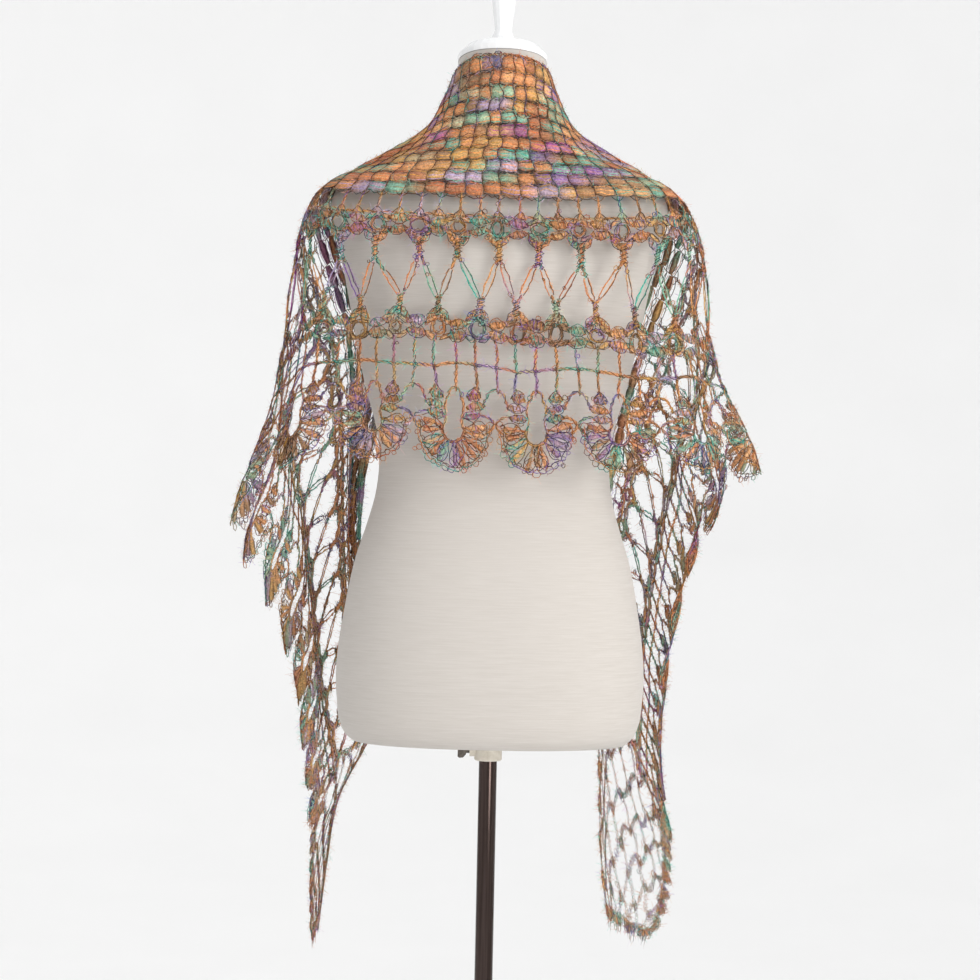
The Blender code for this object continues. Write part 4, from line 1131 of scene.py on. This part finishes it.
class Nodes:
    """A material's node tree with short calls."""

    def __init__(self, name):
        self.mat = bpy.data.materials.new(name)
        self.mat.use_nodes = True
        self.tree = self.mat.node_tree
        self.shader = self.tree.nodes["Principled BSDF"]

    def add(self, kind, **values):
        node = self.tree.nodes.new(kind)
        for key, value in values.items():
            setattr(node, key, value)
        return node

    def link(self, a, b):
        self.tree.links.new(a, b)

    def set(self, **values):
        for key, value in values.items():
            self.shader.inputs[key.replace("_", " ")].default_value = value

    def noise(self, scale, stretch=(1, 1, 1), detail=3.0, rough=0.55):
        mapping = self.add("ShaderNodeMapping")
        mapping.inputs["Scale"].default_value = stretch
        self.link(self.add("ShaderNodeTexCoord").outputs["Object"], mapping.inputs["Vector"])
        node = self.add("ShaderNodeTexNoise")
        for key, value in (("Scale", scale), ("Detail", detail), ("Roughness", rough)):
            node.inputs[key].default_value = value
        self.link(mapping.outputs["Vector"], node.inputs["Vector"])
        return node.outputs["Fac"]

    def ramp(self, source, low, high, out_low, out_high):
        node = self.add("ShaderNodeMapRange")
        for key, value in (("From Min", low), ("From Max", high), ("To Min", out_low), ("To Max", out_high)):
            node.inputs[key].default_value = value
        self.link(source, node.inputs["Value"])
        return node.outputs["Result"]

    def blend(self, factor, a, b, mode="MIX"):
        node = self.add("ShaderNodeMix", data_type="RGBA", blend_type=mode)
        for socket, value in ((node.inputs[0], factor), (node.inputs[6], a), (node.inputs[7], b)):
            if hasattr(value, "links"):
                self.link(value, socket)
            elif isinstance(value, tuple):
                socket.default_value = (*value, 1.0)
            else:
                socket.default_value = value
        return node.outputs[2]

    def bump(self, height, strength, distance):
        node = self.add("ShaderNodeBump")
        node.inputs["Strength"].default_value = strength
        node.inputs["Distance"].default_value = distance
        self.link(height, node.inputs["Height"])
        self.link(node.outputs["Normal"], self.shader.inputs["Normal"])


def mohair(name, rough, sheen):
    m = Nodes(name)
    tint = m.add("ShaderNodeAttribute", attribute_name="yarn_colour")
    fuzz = m.ramp(m.noise(520, detail=4.0), 0.32, 0.68, 0.55, 1.35)
    value = m.add("ShaderNodeCombineColor")
    for socket in value.inputs[:3]:
        m.link(fuzz, socket)
    m.link(m.blend(1.0, tint.outputs["Color"], value.outputs[0], "MULTIPLY"), m.shader.inputs["Base Color"])
    m.set(Roughness=rough, Sheen_Weight=sheen, Sheen_Roughness=0.5)
    m.bump(m.noise(1400, detail=2.0), 0.4, 0.0006)
    return m.mat


def linen():
    m = Nodes("form_linen_cloth")
    slub = m.noise(1.0, (30, 30, 900), detail=4.0, rough=0.6)
    thread = m.noise(1.0, (260, 260, 2200), detail=2.0)
    soft = m.noise(5.0, detail=3.0)
    base = m.blend(m.ramp(slub, 0.35, 0.65, 0.0, 1.0), (0.505, 0.470, 0.434), (0.560, 0.526, 0.492))
    base = m.blend(m.ramp(thread, 0.40, 0.75, 0.0, 0.30), base, (0.50, 0.465, 0.42))
    base = m.blend(m.ramp(soft, 0.35, 0.65, 0.0, 0.30), base, (0.538, 0.502, 0.468))
    m.link(base, m.shader.inputs["Base Color"])
    m.set(Roughness=0.9, Sheen_Weight=0.1)
    m.bump(slub, 0.15, 0.0004)
    return m.mat


def hard(name, grain, tones, rough, relief, start=0.35, fine=None, **shader):
    """A hard finish: one noise for its two tones and its gloss, and a low relief of that or a finer one."""
    m = Nodes(name)
    mark = m.noise(*grain)
    m.link(m.blend(m.ramp(mark, start, 0.7, 0.0, 1.0), *tones), m.shader.inputs["Base Color"])
    m.link(m.ramp(mark, 0.3, 0.7, *rough), m.shader.inputs["Roughness"])
    m.set(**shader)
    m.bump(m.noise(*fine) if fine else mark, *relief)
    return m.mat


def metal(name, dark, light, rough, metallic, scale):
    gloss = (rough * 0.8, rough * 1.3)
    return hard(name, (1.0, scale, 3.0), (dark, light), gloss, (0.1, 0.0002), Metallic=metallic)


def smooth_faces(obj):
    for face in obj.data.polygons:
        face.use_smooth = True


def shade_smooth(obj):
    smooth_faces(obj)
    obj.data.set_sharp_from_angle(angle=SHARP_ANGLE)


def plain_mesh(name, verts, faces, material):
    mesh = bpy.data.meshes.new(name)
    mesh.from_pydata(verts, [], faces)
    mesh.update()
    mesh.materials.append(material)
    return add_object(name, mesh)


def finer_torso(material):
    """The form's skin on a finer grid, with the tilted cut at its neck and the pole's bore at its foot."""
    angles = np.linspace(0, 2 * math.pi, SKIN_STEPS, endpoint=False)
    heights = np.concatenate((np.linspace(0, 0.016, 6)[:-1], np.linspace(0.016, 0.712, 76)))
    bore = np.stack((BORE_R * np.cos(angles), BORE_R * np.sin(angles), np.zeros(SKIN_STEPS)), axis=1)
    rings = [bore + np.array((0, 0, BORE_DEPTH)), bore]
    for height in np.append(heights, NECK_Z):
        level = np.full(SKIN_STEPS, height)
        radius = form_radius(angles, level)
        y = radius * np.sin(angles) + form_section(level[:1])[0, 3]
        z = NECK_Z - NECK_TILT * (y - NECK_Y) if height == NECK_Z else level
        rings.append(np.stack((radius * np.cos(angles), y, z), axis=1))
    verts = np.vstack(rings) + np.array((0, 0, FORM_Z))
    last = (len(rings) - 1) * SKIN_STEPS
    level = np.arange(0, last, SKIN_STEPS)[:, None]
    i = np.arange(SKIN_STEPS)[None, :]
    near, far = level + i, level + (i + 1) % SKIN_STEPS
    quads = np.stack((near, far, far + SKIN_STEPS, near + SKIN_STEPS), axis=-1).reshape(-1, 4)
    ends = [list(range(SKIN_STEPS))[::-1], list(range(last, last + SKIN_STEPS))]
    torso = plain_mesh("torso_linen", verts.tolist(), quads.tolist() + ends, material)
    shade_smooth(torso)
    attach(torso, "form")
    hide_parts("form_torso")
    return torso


def dress_frame():
    even = (1, 1, 1)
    finishes = {
        "neck_cap": hard("neck_gloss_white", (60, even, 4.0), ((0.86, 0.87, 0.88), (0.80, 0.81, 0.82)),
                         (0.16, 0.26), (0.08, 0.0003), 0.4, (180, even, 2.0), Coat_Weight=0.5,
                         Coat_Roughness=0.08),
        "pole_collar": hard("collar_beige_plastic", (220, even, 4.0), ((0.70, 0.65, 0.56),
                            (0.60, 0.55, 0.46)), (0.36, 0.55), (0.15, 0.0004)),
        "clamp_screw": metal("screw_dark_metal", (0.10, 0.085, 0.075), (0.16, 0.14, 0.12), 0.34, 0.8,
                             (300, 300, 300)),
        # the pole is chrome; its base colour is painted dark for the dark room that it reflects
        "stand_pole": metal("pole_dark_chrome", (0.045, 0.032, 0.028), (0.075, 0.055, 0.05), 0.12, 1.0,
                            (400, 400, 6)),
        "stand_base": metal("base_black_powder", (0.035, 0.034, 0.033), (0.06, 0.058, 0.056), 0.5, 0.2,
                            (350, 350, 350)),
    }
    finishes["neck_finial"] = finishes["neck_cap"]
    for node, material in finishes.items():
        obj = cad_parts[node]
        obj.data.materials.clear()
        obj.data.materials.append(material)
        shade_smooth(obj)


# the shawl

def ride_on_form(obj, nodes):
    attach(obj, "form")
    if nodes:
        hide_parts(*nodes)
    return obj


def band_nodes(band):
    return ["%s_%s" % (band, name) for name in STRETCHES]


def make_yarn(name, *draw):
    yarn = Yarn(name)
    for row in draw:
        row(yarn)
    return yarn


def tail_yarn(side, sign):
    tail = Yarn("lace_tail_" + side)
    tail_net(tail, sign)
    tail_tufts(tail, sign, 0.90, 0.0, 71, 1.7, 13.0)
    tail_tufts(tail, sign, 0.07, math.pi, 72, 2.2, 9.5)
    tail_edge(tail, sign, 0.05, 73)
    tail_edge(tail, sign, 0.91, 75)
    tail_end(tail, sign)
    curls(tail, 240, MAIN_END, TAIL_END, 3.1)
    return tail


def build_shawl():
    """Every band's yarn and fluff, as pairs."""
    wool = mohair("mohair_yarn", 0.9, 0.08)
    fuzzy = mohair("mohair_fluff", 0.95, 0.15)
    yoke = make_yarn("lace_yoke", yoke_blocks, yoke_columns, edge_chain)
    windows = make_yarn("lace_filet", filet)
    shell_band(windows, FILET_END, SHELL_END, 0, 5)
    net = make_yarn("lace_net", open_net)
    shell_band(net, NET_END, LOWER_SHELL_END, 1, 9)
    border = make_yarn("lace_border", ladder, pineapple, scallops)
    for yarn, count, low, high in ((windows, 120, 0, MAIN_END), (net, 130, 0, 10), (net, 900, 10, MAIN_END),
                                   (border, 60, 0, 10), (border, 230, 10, MAIN_END)):
        curls(yarn, count, low, high)
    pieces = [(yoke, band_nodes("yoke"), 14000, 14000), (windows, [], 6500, 6500),
              (net, band_nodes("net"), 9000, 13000), (border, band_nodes("border"), 12000, 18000)]
    for side, sign in (("left", -1), ("right", 1)):
        nodes = ["tail_%s_%s" % (side, part) for part in ("yoke", "net", "border")]
        pieces.append((tail_yarn(side, sign), nodes, 1200, 2400))
    out = []
    for yarn, nodes, fill, halo in pieces:
        obj = ride_on_form(yarn.build(wool), nodes)
        fuzz = ride_on_form(fluff(yarn.name + "_fluff", yarn, fill, halo, fuzzy), [])
        out.append((obj, fuzz))
    return out


# camera, light and floor

def area_light(name, place, aim, size, power, colour=(1, 1, 1)):
    data = bpy.data.lights.new(name, "AREA")
    data.shape = "RECTANGLE"
    data.size, data.size_y = size
    data.energy = power
    data.spread = LIGHT_SPREAD
    data.color = colour
    obj = add_object(name, data)
    obj.location = place
    way = Vector(aim) - Vector(place)
    obj.rotation_euler = way.to_track_quat("-Z", "Y").to_euler()


def build_stage():
    """A round studio floor that curves up into a pale wall."""
    profile = [(3.2, 0.0), (4.2, 0.06), (5.2, 0.32), (6.0, 0.9), (6.5, 1.8), (6.8, 3.2), (6.9, 5.0)]
    steps = STUDIO_STEPS
    turns = [2 * math.pi * i / steps for i in range(steps)]
    verts = [(0.0, 0.0, 0.0)]
    for radius, height in profile:
        verts += [(radius * math.cos(turn), radius * math.sin(turn), height) for turn in turns]
    faces = []
    for i in range(steps):
        j = (i + 1) % steps
        faces.append((0, 1 + i, 1 + j))
        for level in range(len(profile) - 1):
            a = 1 + level * steps
            faces.append((a + i, a + steps + i, a + steps + j, a + j))
    m = Nodes("studio_paper")
    grain = m.noise(3.0, detail=2.0)
    tone = m.blend(m.ramp(grain, 0.3, 0.7, 0.0, 1.0), WALL_TONE, (0.97, 0.97, 0.97))
    m.link(tone, m.shader.inputs["Base Color"])
    m.set(Roughness=0.95)
    floor = plain_mesh("studio_floor", verts, faces, m.mat)
    smooth_faces(floor)
    floor.location = (0, 0, -0.0005)


def build_light():
    world = bpy.data.worlds.new("studio")
    bpy.context.scene.world = world
    world.use_nodes = True
    world.node_tree.nodes["Background"].inputs["Color"].default_value = (1.0, 1.0, 1.0, 1)
    world.node_tree.nodes["Background"].inputs["Strength"].default_value = 0.97
    area_light("window", (1.9, -1.7, 1.75), (0, 0, 1.3), (0.9, 1.1), 5.1, (1.0, 0.985, 0.96))
    area_light("low_fill", (1.5, -3.0, 0.75), (0, 0, 1.35), (1.4, 0.8), 5.5, (1.0, 0.985, 0.965))
    bpy.context.scene.view_settings.view_transform = "Standard"


def build_camera():
    data = bpy.data.cameras.new("camera")
    data.lens = 93.5
    data.sensor_width = 36.0
    camera = add_object("camera", data)
    camera.location = (-0.004, -2.8, 1.076)
    camera.rotation_euler = (math.pi / 2, math.radians(-1.2), 0.0)
    bpy.context.scene.camera = camera


build_camera()
build_light()
build_stage()
dress_frame()
TORSO = finer_torso(linen())
build_shawl()
